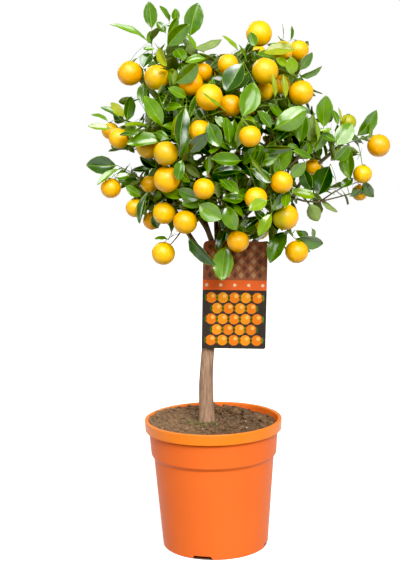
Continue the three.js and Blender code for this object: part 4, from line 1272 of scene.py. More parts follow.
def leaf_material(name, light, dark):
    """The upper skin has a waxy coat, the underside and the rib have none."""
    is_top = name not in ("under", "rib")
    coat = SHINY if is_top else PLAIN
    return material("leaf_" + name, light, dark, 0.5 if is_top else 0.6, 70, bump=(0.22, 200), **coat)


# ---------- leaves ----------

# Across a leaf at each share of its length, what share of its half width it has: a short stalk, then
# the blade.
STATIONS = (
    (0, 0.04),
    (0.08, 0.045),
    (0.16, 0.36),
    (0.32, 0.82),
    (0.51, 1.0),
    (0.69, 0.92),
    (0.85, 0.62),
    (0.95, 0.29),
    (1, 0.05),
)
# The blade's rib, pale edge and thickness in millimetres, then its shape: ranges to draw from, and how
# much of each there is. Sprigs take their fold from the table, a little deeper, and twist less.
BLADE = {
    "rib": 0.5,
    "ribTaper": 0.7,
    "ribMost": 0.5,
    "edge": 0.5,
    "edgeLeast": 0.85,
    "thick": 0.4,
    "wider": 1.08,
    "slim": (0.74, 1),
    "fold": (0.25, 0.55),
    "foldLine": 0.4,
    "deeper": 0.3,
    "arch": (0.02, 0.14),
    "archRise": 0.6,
    "twist": 0.4,
    "twistAbout": 0.4,
    "sprigTwist": 0.4,
    "bend": 0.06,
    "curl": 0.17,
    "wave": 0.022,
    "waves": 13,
    "lift": 0.3,
}
SKIN, UNDER = 8, 4  # vertices across a blade: on its upper skin from edge to edge, and below it
STRIPS = ("rib", "top", "top", "rib", "top", "top", "rib")


def blade_section(leaf, share, profile, wide, fold, arch, phase):
    """The upper skin across a blade, from edge to edge: how far out, and how high."""
    half = wide * profile
    rib = min(BLADE["rib"] * (1 - BLADE["ribTaper"] * share), half * BLADE["ribMost"])
    edge = max(half - BLADE["edge"], half * BLADE["edgeLeast"])
    mid = (rib + edge) / 2
    rise = arch * leaf.length * (4 * share * (1 - share) - share) * BLADE["archRise"]
    section = []
    for v in (-half, -edge, -mid, -rib, rib, mid, edge, half):
        out = abs(v) / wide
        wave = math.sin(share * BLADE["waves"] + phase + np.sign(v))
        height = rise + fold * (abs(v) - BLADE["foldLine"] * half) - BLADE["curl"] * wide * out**2
        section.append((v, height + BLADE["wave"] * leaf.length * out * wave))
    return section


def leaf_vertices(leaf):
    """A thin closed leaf: an upper skin with a rib and a pale edge, and an under skin that shares its
    edge. A sprig stands wholly above its plate."""
    draw = lambda low, high, axis: chance(low, high, *leaf.keys, KEYS["blade"] + axis)
    fold = draw(*BLADE["fold"], 1)
    arch = draw(*BLADE["arch"], 2)
    twist = draw(-BLADE["twist"], BLADE["twist"], 3)
    phase = draw(0, ROUND, 4)
    bend = draw(-BLADE["bend"], BLADE["bend"], 5)
    wide = leaf.width / 2 * BLADE["wider"]
    side_way, face_way = leaf.across, leaf.up
    if leaf.is_sprig:
        wide *= leaf.look.share
        fold = leaf.look.fold + BLADE["deeper"]
        twist *= BLADE["sprigTwist"]
        side_way, face_way = (
            turned(way, leaf.along, leaf.look.turn * DEGREE) for way in (side_way, face_way)
        )
    else:
        wide *= draw(*BLADE["slim"], 6)
    sections = [blade_section(leaf, *station, wide, fold, arch, phase) for station in STATIONS]
    lift = BLADE["lift"] * wide * BLADE["curl"]
    if leaf.is_sprig:
        lift = -min(height for section in sections for _, height in section)
    vertices = []
    for (share, _), section in zip(STATIONS, sections):
        middle = leaf.base + leaf.along * (share * leaf.length)
        middle = middle + side_way * (bend * leaf.length * math.sin(math.pi * share))
        middle = middle + face_way * (lift * min(1, 4 * share))
        turn = twist * (share - BLADE["twistAbout"])
        across = side_way * math.cos(turn) + face_way * math.sin(turn)
        up = face_way * math.cos(turn) - side_way * math.sin(turn)
        skin = [middle + across * v + up * height for v, height in section]
        vertices += skin + [skin[k] - up * BLADE["thick"] for k in (1, 3, 4, 6)]
    return vertices


def leaf_faces():
    """The faces that every leaf has, and the kind of each: top, under or rib."""
    width = SKIN + UNDER
    faces, kinds = [], []
    for a in range(0, (len(STATIONS) - 1) * width, width):
        b = a + width
        for k, kind in enumerate(STRIPS):
            faces.append((a + k, a + k + 1, b + k + 1, b + k))
            kinds.append(kind)
        for k, m in ((0, 8), (8, 9), (9, 10), (10, 11), (11, 7)):
            faces.append((a + m, a + k, b + k, b + m))
            kinds.append("rib" if k == 9 else "under")
    faces.append((*range(SKIN, width), *range(SKIN)[::-1]))
    last = (len(STATIONS) - 1) * width
    faces.append((*range(last, last + SKIN), *range(last + SKIN, last + width)[::-1]))
    return faces, kinds + ["rib", "rib"]


# A leaf's tone by the value drawn for it: part its spray's, part its own, more near the crown's tips
# and less in its middle, where the darker tone is partly painted shade.
LEAF_VALUE = {"spray": 0.5, "own": 0.45, "out": 0.4, "outFrom": 0.75, "reach": 190}
LEAF_LIMITS = (0.26, 0.5, 0.7, 0.84)


def leaf_tone(leaf):
    """The tone of a leaf: that of its spray, lighter near the tips of the crown, and partly its own.
    Leaves in the crown's middle come out darker: partly painted shade, partly the darker tone of older
    leaves.
    """
    if leaf.is_sprig:
        return list(LEAF_TONES).index(leaf.look.tone)
    value = LEAF_VALUE["spray"] * dice(leaf.mass, leaf.keys[1], 31)
    value += LEAF_VALUE["own"] * dice(*leaf.keys, 32)
    # Darker towards the crown's middle: partly painted shade.
    out = np.linalg.norm(leaf.base - MIDDLE) / LEAF_VALUE["reach"]
    value += LEAF_VALUE["out"] * (out - LEAF_VALUE["outFrom"])
    return sum(value >= limit for limit in LEAF_LIMITS)


def make_leaves(crown):
    builds = {"front": Build(), "back": Build()}
    names = list(LEAF_TONES)
    faces, kinds = leaf_faces()
    for leaf in crown.leaves:
        tone = leaf_tone(leaf)
        slots = [tone if kind == "top" else names.index(kind) for kind in kinds]
        builds[crown.masses[leaf.mass].side].add(leaf_vertices(leaf), faces, slots)
    return builds


# ---------- fruit and twigs ----------

FRUIT_TONES = {
    "ripe": ((0.93, 0.51, 0.001), (0.91, 0.43, 0.001)),
    "golden": ((0.94, 0.55, 0.001), (0.92, 0.48, 0.001)),
    "deep": ((0.92, 0.45, 0.001), (0.89, 0.38, 0.001)),
    "dull": ((0.80, 0.47, 0.002), (0.68, 0.40, 0.003)),
    "turning": ((0.93, 0.48, 0.001), (0.55, 0.46, 0.003)),
    "olive": ((0.52, 0.46, 0.005), (0.36, 0.38, 0.005)),
    "calyx": ((0.16, 0.26, 0.02), (0.10, 0.18, 0.012)),
}
BALL = {
    "around": 26,
    "along": 16,
    "dimple": 0.06,
    "dimpleWidth": 0.3,
    "tip": 0.03,
    "tipWidth": 0.2,
    "lumps": 0.012,
    "swell": 1.03,
    "squat": 0.985,
    "tilt": 0.35,
}
# A fruit's calyx: its points, how far they and the notches between them reach, how low the points hang,
# the height of its peak, and the height and scale of its upper and its under edge.
CALYX = {
    "points": 5,
    "reach": 3.0,
    "notch": 1.9,
    "drop": 0.35,
    "peak": 1.5,
    "edges": ((0.9, 1.0), (-0.6, 0.95)),
}
RIPE_LIMITS = (0.5, 0.8)  # shares of the ripe fruit that have the first tone, and the first or second
TURNS = (0.080, 0.117)  # where along x the turning fruit goes from green to ripe, in metres


def round_axis(axis):
    """Two directions square to an axis and to each other."""
    side = unit(np.cross(axis, vec(0, 1, 0.3)))
    return side, np.cross(axis, side)


def fruit_mesh(fruit, number):
    """A slightly flattened ball with a dimple at its stalk and a faint unevenness."""
    rings, sides = BALL["along"], BALL["around"]
    phase = chance(0, ROUND, number, 41)
    tilt = chance(0, BALL["tilt"], number, 42)
    turn = chance(0, ROUND, number, 43)
    axis = vec(math.sin(tilt) * math.cos(turn), math.sin(tilt) * math.sin(turn), math.cos(tilt))
    side, third = round_axis(axis)

    def point(k, i):
        down, angle = math.pi * k / rings, 2 * math.pi * i / sides
        lump = BALL["lumps"] * math.sin(3 * angle + phase) * math.sin(2 * down + phase)
        radius = fruit.radius * BALL["swell"] * (1 + lump)
        dip = BALL["dimple"] * math.exp(-((down / BALL["dimpleWidth"]) ** 2))
        dip += BALL["tip"] * math.exp(-(((math.pi - down) / BALL["tipWidth"]) ** 2))
        height = math.cos(down) * (radius * BALL["squat"] - dip * fruit.radius)
        way = side * math.cos(angle) + third * math.sin(angle)
        return fruit.at + axis * height + way * (math.sin(down) * radius)

    vertices = [point(0, 0)]
    vertices += [point(k, i) for k in range(1, rings) for i in range(sides)]
    vertices.append(point(rings, 0))
    last = len(vertices) - 1
    low = last - sides
    faces = [(0, 1 + i, 1 + (i + 1) % sides) for i in range(sides)]
    faces += [tuple(1 + v for v in face) for face in ring_faces(rings - 1, sides)]
    faces += [(low + i, last, low + (i + 1) % sides) for i in range(sides)]
    return vertices, faces, axis


def calyx_mesh(fruit, axis):
    """A small star-shaped cap where the stalk meets the fruit."""
    top = fruit.at + axis * fruit.radius * (BALL["squat"] * BALL["swell"] - BALL["dimple"])
    side, third = round_axis(axis)
    corners = 2 * CALYX["points"]
    vertices = [top + axis * CALYX["peak"]]
    for height, scale in CALYX["edges"]:
        for k in range(corners):
            reach, drop = (CALYX["notch"], 0) if k % 2 else (CALYX["reach"], CALYX["drop"])
            angle = 2 * math.pi * k / corners
            way = side * math.cos(angle) + third * math.sin(angle)
            vertices.append(top + axis * (height - drop) + way * (reach * scale))
    faces = []
    for k in range(corners):
        j = (k + 1) % corners
        faces.append((0, 1 + j, 1 + k))
        faces.append((1 + k, 1 + j, 1 + corners + j, 1 + corners + k))
    faces.append(tuple(1 + corners + k for k in range(corners)))
    return vertices, faces


def make_fruit(crown):
    build = Build()
    names = list(FRUIT_TONES)
    for number, fruit in enumerate(crown.fruit):
        vertices, faces, axis = fruit_mesh(fruit, number)
        ripe = sum(dice(number, 51) >= limit for limit in RIPE_LIMITS)
        build.add(vertices, faces, names.index(fruit.tone) if fruit.tone else ripe)
        build.add(*calyx_mesh(fruit, axis), names.index("calyx"))
    return build


# Bare twigs under the foliage, two on the right and one low on the left: their points and thickness.
REACHES = [
    (((112, 9, 481), (128, -2, 476), (146, -6, 474), (176, -8, 481), (207, -8, 489)), 1.5),
    (((150, -6, 475), (166, -9, 486), (182, -12, 495), (190, -14, 499)), 1.2),
    (((-37, -48, 443), (-44, -43, 433), (-52, -37, 424)), 1.2),
]
# Twigs as they are drawn. Stems are woody, and so is a share of the twigs of some thickness.
DRAWN = {"sides": 6, "steps": 6, "reachSteps": 10, "taper": 0.45, "woodyFrom": 1.2, "woody": 0.4}


def make_twigs(crown):
    build = Build()
    sides = DRAWN["sides"]
    for points, radius in REACHES:
        radii = radius * (1 - DRAWN["taper"] * np.linspace(0, 1, len(points)))
        curve = smoother(np.array(points, float), radii, DRAWN["reachSteps"])
        build.add(*tube(*curve, sides), 0)
    for mass in crown.masses:
        for twig in (mass.stem, *mass.twigs):
            is_thick = twig.radii[0] > DRAWN["woodyFrom"]
            is_woody = is_thick and dice(mass.number, twig.key, 61) < DRAWN["woody"]
            slot = 0 if twig is mass.stem or is_woody else 1
            build.add(*tube(*smoother(twig.points, twig.radii, DRAWN["steps"]), sides), slot)
    return build


# ---------- trunk and boughs ----------

# The stem's and the boughs' rings and relief. A bough is thicker at its foot, over a share of its length
# that is one part in "footLength", and slim at its tip.
BARK = {
    "sides": 56,
    "steps": 150,
    "fine": 0.006,
    "boughSides": 18,
    "boughSteps": 36,
    "boughFoot": 0.4,
    "footLength": 14,
    "boughSlim": 0.82,
    "boughTip": 0.6,
    "boughRidges": 0.05,
    "boughFine": 0.03,
}
# How many grooves run up the stem, how deep they are and how fast they drift.
GROOVES = ((5, 0.030, 0.012), (9, 0.026, 0.02), (16, 0.018, 0.035), (27, 0.012, 0.05))
KNOTS = ((-10, 207, 5.5, 0.10), (14, 300, 5.0, 0.08))  # way round in degrees, height, size, rise
KNOT_NARROW = 9  # a knot is narrower round the stem the more this is


def bark_swell(angles, share, place):
    """Grooves that run up the stem, drifting as they go, broad flutes and two knots."""
    z = place[2]
    relief = 1 + TRUNK["flute"] * (1 - share) * np.sin(3 * angles + 2 * share + 0.5)
    for count, depth, drift in GROOVES:
        wander = 1.3 * math.sin(z * drift + count) + 0.6 * math.sin(z * drift * 2.7 + 2 * count)
        ridge = np.abs(np.sin(count / 2 * angles + wander)) - 0.5
        fade = 0.65 + 0.35 * math.sin(z * 0.11 + count * 1.7)
        relief = relief + depth * ridge * fade
    fine = np.sin(angles * 11 + z * 0.9) * np.sin(z * 0.43 + angles * 3)
    relief = relief + BARK["fine"] * fine
    for turn, height, size, rise in KNOTS:
        away = 1 - np.cos(angles - (turn - 90) * DEGREE)
        near = np.exp(-((z - height) / size) ** 2) * np.exp(-(away * KNOT_NARROW) ** 2)
        relief = relief + rise * near
    return relief


def bough_swell(phase):
    """Shallow ridges along a bough, each bough's in its own place."""

    def swell(angles, share, place):
        ridges = np.abs(np.sin(2.5 * angles + 0.04 * place[2] + phase)) - 0.5
        fine = np.sin(7 * angles + place[2] * 0.2 + phase)
        return 1 + BARK["boughRidges"] * ridges + BARK["boughFine"] * fine

    return swell


def make_bark(limbs):
    build = Build()
    shares = np.linspace(0, 1, BARK["steps"] + 1)
    build.add(*tube(trunk_centres(shares), trunk_radius(shares), BARK["sides"], bark_swell), 0)
    t = np.linspace(0, 1, BARK["boughSteps"] + 1)
    thick = BARK["boughSlim"] + BARK["boughFoot"] * np.exp(-t * BARK["footLength"])
    thick[-1] *= BARK["boughTip"]
    for name, (parent, at, bend, tip, base, end) in BOUGHS.items():
        start = limbs[parent].place(at).at
        points = bezier(start, vec(*bend), vec(*tip), BARK["boughSteps"])
        swell = bough_swell(sum(map(ord, name)))
        build.add(*tube(points, lerp(base, end, t) * thick, BARK["boughSides"], swell), 1)
    return build


# ---------- pot ----------

# The turned pot: the rounding of its corners, and the small steps of its wall.
TURNED = {
    "degrees": 2.5,
    "corner": 1.1,
    "cornerSteps": 4,
    "padSlope": 3,
    "footTop": 7,
    "ledge": (0.5, 3.5),
    "underBand": 0.4,
    "lip": 5,
    "seat": 1,
}
# How much of a side a corner's arc may take, and where beyond the arc a ring holds the side straight.
CUT = {"most": 0.3, "hold": 1.6, "holdMost": 0.4}


def rounded(profile, radius):
    """A profile whose corners are turned into small arcs, with a ring just past each arc's ends."""
    made = [profile[0]]
    for before, corner, after in zip(profile, profile[1:], profile[2:]):
        corner = np.array(corner, float)
        sides = [np.array(place) - corner for place in (before, after)]
        lengths = [np.linalg.norm(side) for side in sides]
        cut = min(radius, *(length * CUT["most"] for length in lengths))
        start, end = (corner + side * cut / length for side, length in zip(sides, lengths))
        first, last = (
            corner + side * min(CUT["hold"] * cut, length * CUT["holdMost"]) / length
            for side, length in zip(sides, lengths)
        )
        made += [first, *bezier(start, corner, end, TURNED["cornerSteps"]), last]
    return [*made, profile[-1]]


def pot_profile():
    """The pot's section, from beside the middle of its underside round by the rim to its floor."""
    p, w = POT, POT["wall"]
    ring = p["footRadius"] - p["footRing"]
    foot_top = TURNED["footTop"]
    wider, higher = TURNED["ledge"]
    outside = [
        (0, 0),
        (p["padRadius"], 0),
        (p["padRadius"] + TURNED["padSlope"], p["footHeight"]),
        (ring, p["footHeight"]),
        (ring, 0),
        (p["footRadius"], 0),
        (lerp(p["footRadius"], p["bodyRadius"], foot_top / p["bodyTop"]), foot_top),
        (p["bodyRadius"] + wider, p["bodyTop"] + higher),
        (p["shoulderRadius"], p["shoulderTop"]),
        (p["neckRadius"], p["neckTop"]),
        (p["neckRadius"] + TURNED["underBand"], p["bandBottom"]),
        (p["bandRadius"], p["bandBottom"]),
        (p["rimRadius"], p["height"]),
        (p["rimRadius"] - TURNED["lip"], p["height"]),
    ]
    inside = [
        (p["neckRadius"] - w, p["neckTop"]),
        (p["bodyRadius"] - w, p["bodyTop"]),
        (p["footRadius"] - w, p["footHeight"] + w),
        (p["padRadius"] + TURNED["seat"], p["footHeight"] + w),
        (p["padRadius"] - w, w),
        (0, w),
    ]
    return rounded(outside + inside, TURNED["corner"])[1:-1]


def make_pot():
    """The pot turned on its axis, with the foot ring lifted at the drains."""
    p = POT
    profile = pot_profile()
    angles = set(np.round(np.arange(0, 360, TURNED["degrees"]), 3))
    half = [math.degrees(math.asin(NOTCH[k] / 2 / p["footRadius"])) for k in ("width", "topWidth")]
    middles = [(NOTCH["first"] + 360 / NOTCH["count"] * k - 90) % 360 for k in range(NOTCH["count"])]
    angles |= {round((m + side * h) % 360, 3) for m in middles for h in half for side in (1, -1)}
    angles = sorted(angles)
    lean = (p["bodyRadius"] - p["footRadius"]) / p["bodyTop"]
    pad, foot = p["padRadius"] + 5, p["footRadius"] - 1.5  # only the foot ring beyond these is lifted
    vertices = []
    for radius, z in profile:
        for angle in angles:
            off = min(abs((angle - middle + 180) % 360 - 180) for middle in middles)
            lift = NOTCH["height"] * np.clip((half[0] - off) / (half[0] - half[1]), 0, 1)
            rise, reach = z, radius
            if radius > pad and z < lift:
                rise = lift
                reach += (lift - z) * lean if radius > foot else 0
            vertices.append((*polar(reach, angle * DEGREE), rise))
    rings, sides = len(profile), len(angles)
    faces = ring_faces(rings, sides)
    vertices += [(0, 0, 0), (0, 0, p["wall"])]
    low, high = rings * sides, rings * sides + 1
    for i in range(sides):
        j = (i + 1) % sides
        faces.append((low, j, i))
        faces.append((high, (rings - 1) * sides + i, (rings - 1) * sides + j))
    # Faces above the foot of the band, on the rim and on the inside above the soil, take the second slot:
    # a lighter copy of the plastic, painted light.
    band = p["bandBottom"] - 0.01
    build = Build()
    build.add(vertices, faces, [int(min(vertices[v][2] for v in face) > band) for face in faces])
    return build


# ---------- soil ----------


def soil_height(x, y):
    """Height of the soil: flat round the trunk, lumpy beyond, heaped to the left, low on the right."""
    out = np.clip((np.hypot(x, y) - SOIL["flatRadius"]) / SOIL["flatRadius"], 0, 1)
    lumps = np.sin(x * 0.19 + 1.3) * np.cos(y * 0.23) + 0.6 * np.sin(x * 0.41 - y * 0.37)
    side = (y * 0.25 - x) / POT["rimRadius"]
    rise = side * np.where(side > 0, SOIL["leftRise"], SOIL["rightDrop"])
    return SOIL["level"] + out * (rise + SOIL["lump"] * lumps * 0.6 - 1.5)


GRAINS = ((6.5, 1.2), (3.7, 0.95), (2.1, 0.7))  # the soil's unevenness: size and height


def crumb(x, y):
    """Fine unevenness of loose soil."""
    total = 0
    for k, (size, height) in enumerate(GRAINS):
        a = np.sin(x / size * 2.1 + 1.7 * k + 1.9 * np.sin(y / size * 1.3 + k))
        b = np.sin(y / size * 2.3 + 0.9 * k + 1.7 * np.sin(x / size * 1.1 - k))
        total = total + height * a * b
    return total


# The soil's top: where it ends, its rings and sides, and how smooth it is at its edge and on the left.
SURFACE = {
    "edge": POT["rimRadius"] - TURNED["lip"] + 0.5,
    "rings": 46,
    "sides": 150,
    "bottom": POT["bandBottom"] + 1.5,
    "underEdge": 1.5,
    "atEdge": 0.4,
    "leftOf": -12,
    "smoother": 0.6,
}
# Limits of dryness between the soil's dark, brown and dry tones, and how far dryness strays.
DRY = {"surface": (0.42, 0.62), "crumbs": (0.4, 0.65), "stray": 0.3, "crumbStray": 0.5}
# Loose crumbs: how many, how big, where there are fewer or none, and how far they stand out.
CRUMBS = {
    "count": 1700,
    "sizes": (0.8, 3.2),
    "inside": 3,
    "roundTrunk": 13,
    "leftOf": -15,
    "fewer": 0.45,
    "proud": 0.2,
    "specks": 46,
    "speckSizes": (0.6, 1.3),
}
CLODS = {
    "count": 34,
    "sizes": (4, 11.5),
    "inside": 2,
    "out": (0.6, 1),
    "side": (-20, 95),
    "proud": 0.15,
    "dark": 0.6,
    "seeds": 5000,
}
MOSS = {
    "count": 100,
    "length": (2.5, 7),
    "reach": (9, 34),
    "side": (165, 320),
    "width": 0.45,
    "lift": 0.6,
    "taper": (1, 0.9, 0.7, 0.3),
}
# A crumb's shape: how wide and high it is against its size, and how far its corners stray.
LUMP = {"wide": (0.7, 1.2), "high": (0.5, 0.8), "corner": (0.8, 1.2)}


def icosahedron():
    """The corners of a regular solid of twenty faces, and its faces."""
    golden = (1 + math.sqrt(5)) / 2
    pairs = [(s, t * golden) for s in (-1, 1) for t in (-1, 1)]
    corners = [(a, b, 0) for a, b in pairs]
    corners += [(0, a, b) for a, b in pairs] + [(b, 0, a) for a, b in pairs]
    corners = np.array(corners, float)
    longest = 2.1  # an edge is 2 long, and corners with no edge between them are further apart
    is_edge = lambda i, j: np.linalg.norm(corners[i] - corners[j]) < longest
    faces = [
        (a, b, c)
        for a, b, c in combinations(range(len(corners)), 3)
        if is_edge(a, b) and is_edge(b, c) and is_edge(c, a)
    ]
    return corners / math.hypot(1, golden), faces


CRUMB_CORNERS, CRUMB_FACES = icosahedron()


def lump(at, size, seed):
    """A crumb: the corners of a small solid pushed about and turned."""
    spans = ("wide", "wide", "high")
    stretch = vec(*[chance(*LUMP[name], seed, key) for key, name in enumerate(spans, 71)])
    jitter = np.array([[chance(*LUMP["corner"], seed, k)] for k in range(len(CRUMB_CORNERS))])
    turn = chance(0, ROUND, seed, 74)
    spin = np.array([turned(axis, UP, turn) for axis in np.eye(3)])
    return at + (CRUMB_CORNERS * jitter * stretch * size) @ spin


def dryness(x, y):
    """How dry the soil is at a place: more on the left and in patches."""
    patches = 0.25 * np.sin(x * 0.13 + 2) * np.cos(y * 0.17 + 1) + 0.12 * np.sin(x * 0.5 + y * 0.4)
    return 0.5 - 0.011 * (x + 6) - 0.002 * y + patches


def soil_tone(dry, limits):
    """The slot of the dark, the brown or the dry tone."""
    return sum(dry >= limit for limit in limits)


def add_surface(build):
    """The top of the soil, closed below by a flat underside."""
    edge, rings, sides = SURFACE["edge"], SURFACE["rings"], SURFACE["sides"]
    angles = np.arange(sides) * 2 * math.pi / sides
    vertices = []
    for k in range(1, rings + 1):
        x, y = polar(edge * k / rings, angles)
        rough = np.where(x < SURFACE["leftOf"], SURFACE["smoother"], 1)
        rough = rough * (1 if k < rings else SURFACE["atEdge"])
        vertices += list(zip(x, y, soil_height(x, y) + crumb(x, y) * rough))
    bottom = SURFACE["bottom"]
    vertices += [(*polar(edge - SURFACE["underEdge"], a), bottom) for a in angles]
    middle = len(vertices)
    vertices += [(0, 0, SOIL["level"]), (0, 0, bottom)]
    faces = ring_faces(rings + 1, sides)
    for i in range(sides):
        j = (i + 1) % sides
        faces.append((middle, i, j))
        faces.append((middle + 1, rings * sides + j, rings * sides + i))
    slots = []
    for n, face in enumerate(faces):
        x, y, _ = np.mean([vertices[v] for v in face], axis=0)
        dry = dryness(x, y) + DRY["stray"] * (dice(n, 86) - 0.5)
        slots.append(soil_tone(dry, DRY["surface"]))
    build.add(vertices, faces, slots)


def add_crumbs(build):
    """Loose crumbs, fewer on the left, with none at the trunk. The first few are pale specks."""
    for n in range(CRUMBS["count"]):
        radius = (SURFACE["edge"] - CRUMBS["inside"]) * math.sqrt(dice(n, 81))
        x, y = polar(radius, 2 * math.pi * dice(n, 82))
        at_trunk = math.hypot(x - TRUNK["centreX"][0], y) < CRUMBS["roundTrunk"]
        if at_trunk or x < CRUMBS["leftOf"] and dice(n, 87) < CRUMBS["fewer"]:
            continue
        size = lerp(*CRUMBS["sizes"], dice(n, 83) ** 3)
        z = soil_height(x, y) + crumb(x, y) + size * CRUMBS["proud"]
        dry = dryness(x, y) + DRY["crumbStray"] * (dice(n, 85) - 0.5)
        slot = soil_tone(dry, DRY["crumbs"])
        if n < CRUMBS["specks"]:
            size = chance(*CRUMBS["speckSizes"], n, 84)
            slot = 3
        build.add(lump(vec(x, y, z), size, n), CRUMB_FACES, slot)


def add_clods(build):
    """Bigger clods on the right and at the back."""
    for n in range(CLODS["count"]):
        size = lerp(*CLODS["sizes"], dice(n, 91))
        radius = SURFACE["edge"] - size - CLODS["inside"]
        radius *= lerp(*CLODS["out"], dice(n, 92) ** 0.5)
        x, y = polar(radius, lerp(*CLODS["side"], dice(n, 93)) * DEGREE)
        z = soil_height(x, y) + size * CLODS["proud"]
        slot = 0 if dice(n, 94) < CLODS["dark"] else 1
        build.add(lump(vec(x, y, z), size, CLODS["seeds"] + n), CRUMB_FACES, slot)


def add_moss(build):
    """Wisps of moss that lie on the soil round the trunk."""
    for n in range(MOSS["count"]):
        radius = lerp(*MOSS["reach"], dice(n, 96) ** 1.5)
        x, y = polar(radius, lerp(*MOSS["side"], dice(n, 95)) * DEGREE)
        x += TRUNK["centreX"][0]
        foot = vec(x, y, soil_height(x, y) + MOSS["lift"])
        lean = unit(vec(dice(n, 97) - 0.5, dice(n, 98) - 0.5, 0.15 + 0.3 * dice(n, 99)))
        tip = foot + lean * lerp(*MOSS["length"], dice(n, 100))
        points = bezier(foot, (foot + tip) / 2 + UP, tip, 3)
        build.add(*tube(points, np.array(MOSS["taper"]) * MOSS["width"], 3), 4)


def make_soil():
    build = Build()
    for add in (add_surface, add_crumbs, add_clods, add_moss):
        add(build)
    return build


# ---------- label ----------


def arc(x, y, radius, first, last, count):
    angles = [lerp(first, last, k / count) * DEGREE for k in range(count + 1)]
    return [(x + radius * math.cos(a), y + radius * math.sin(a)) for a in angles]


def disc(x, y, radius, sides):
    return arc(x, y, radius, 0, 360, sides)[:-1]


def lozenge(x, y, wide, high):
    return [(x + wide, y), (x, y + high), (x - wide, y), (x, y - high)]


def plate(build, points, low, high, slot, hole=None):
    """A flat plate on the card from one lift to another. One with a hole is drawn in two halves,
    which meet above and below the hole: its outline starts at the foot of the split."""
    rings = [points, hole] if hole else [points]
    flat = [place for ring in rings for place in ring]
    count, size = len(flat), len(points)
    vertices = [card_place(x, y, lift) for lift in (high, low) for x, y in flat]
    halves = [range(size)]
    if hole:
        top = next(k for k, (x, y) in enumerate(points) if k and x == 0)
        down = len(hole) // 2
        right = [*range(top + 1), *(size + k for k in range(down + 1))]
        left = [*range(top, size), 0, *(size + k % len(hole) for k in range(down, len(hole) + 1))]
        halves = [right, left]
    faces = [tuple(half) for half in halves] + [tuple(k + count for k in half[::-1]) for half in halves]
    first = 0
    for ring in rings:
        n = len(ring)
        for k in range(n):
            a, b = first + k, first + (k + 1) % n
            faces.append((a, a + count, b + count, b))
        first += n
    build.add(vertices, faces, slot)


# The card's print: the band's foot and top, the ink's thickness, and each row of shapes by its number
# of rows, how far apart they are, how far the first row is from the band, and the shapes' sizes.
PRINT = {"band": (6.9, 20.5), "ink": 0.06, "bandDots": 19, "dot": 2.2, "edge": 1}
LOZENGES = {
    "rows": 5,
    "columns": 5,
    "pitch": (8.4, 9.4),
    "above": 7,
    "size": (3.6, 4.6),
    "room": (4.4, 5),
    "roundHole": 9,
}
DISCS = {
    "rows": 5,
    "columns": 3,
    "pitch": (15.6, 14.6),
    "below": 10.5,
    "radius": 7.3,
    "shine": (2.1, 2.4, 2.6),
    "between": (1.7, 5.2),
    "room": 3,
}


def card_outline(low, high):
    """The card's outline between two heights, from the middle of its foot round by the right."""
    w, h, r = CARD["width"] / 2, CARD["height"] / 2, CARD["corner"]
    small = CARD["footCorner"]
    points = [(0, low)]
    points += arc(w - small, low + small, small, -90, 0, 6) if low <= -h else [(w, low)]
    if high >= h:
        points += [*arc(w - r, h - r, r, 0, 90, 8), (0, h), *arc(r - w, h - r, r, 90, 180, 8)]
    else:
        points += [(w, high), (0, high), (-w, high)]
    return [*points, (-w, low)]


def print_lozenges(build, low, high, hole_y):
    """Rows of lozenges over the top of the card, clear of its hole."""
    w, h = CARD["width"] / 2, CARD["height"] / 2
    (across, upward), (wide, tall) = LOZENGES["pitch"], LOZENGES["room"]
    for row in range(LOZENGES["rows"]):
        for column in range(-LOZENGES["columns"], LOZENGES["columns"] + 1):
            x = (column + (0.5 if row % 2 else 0)) * across
            y = PRINT["band"][1] + LOZENGES["above"] + row * upward
            is_on_card = abs(x) + wide <= w and y + tall <= h - PRINT["edge"]
            if is_on_card and math.hypot(x, y - hole_y) >= LOZENGES["roundHole"]:
                plate(build, lozenge(x, y, *LOZENGES["size"]), low, high, 4 + (row + column) % 2)


def print_discs(build, low, high):
    """Rows of discs with a light spot on each, over the foot of the card, and lozenges between them."""
    w, (across, upward), radius = CARD["width"] / 2 - PRINT["edge"], DISCS["pitch"], DISCS["radius"]
    right, up, spot = DISCS["shine"]
    columns = range(-DISCS["columns"], DISCS["columns"] + 1)
    for row in range(DISCS["rows"]):
        shift = 0.5 if row % 2 else 0
        y = PRINT["band"][0] - DISCS["below"] - row * upward
        for column in columns:
            x = (column + shift) * across
            if abs(x) + radius <= w:
                plate(build, disc(x, y, radius, 24), low, high, 7 + (row * 3 + column) % 2)
                plate(build, disc(x + right, y + up, spot, 16), high, high + PRINT["ink"], 9)
        for column in columns:
            x = (column + 0.5 - shift) * across
            if abs(x) + DISCS["room"] < w:
                shape = lozenge(x, y + upward / 2 - radius, *DISCS["between"])
                plate(build, shape, low, high, 10 + (row + column) % 2)


def make_card():
    """The card with a plain design as thin as ink: lozenges, a band, and discs between lozenges."""
    build = Build()
    half, h, ink = CARD["thickness"] / 2, CARD["height"] / 2, PRINT["ink"]
    low, high = PRINT["band"]
    hole = arc(0, h - CARD["holeDrop"], CARD["holeRadius"], 90, -270, 24)[:-1]
    plate(build, card_outline(-h, h), -half, half, 0, hole)
    plate(build, card_outline(high, h), half, half + ink, 1, hole)
    plate(build, card_outline(low, high), half, half + ink, 2)
    plate(build, card_outline(-h, low), half, half + ink, 3)
    first, second = half + ink, half + 2 * ink
    print_lozenges(build, first, second, hole[0][1])
    step = PRINT["bandDots"]
    for x in (-2 * step, -step, 0, step, 2 * step):
        plate(build, disc(x, (low + high) / 2, PRINT["dot"], 14), first, second, 6)
    print_discs(build, first, second)
    return build


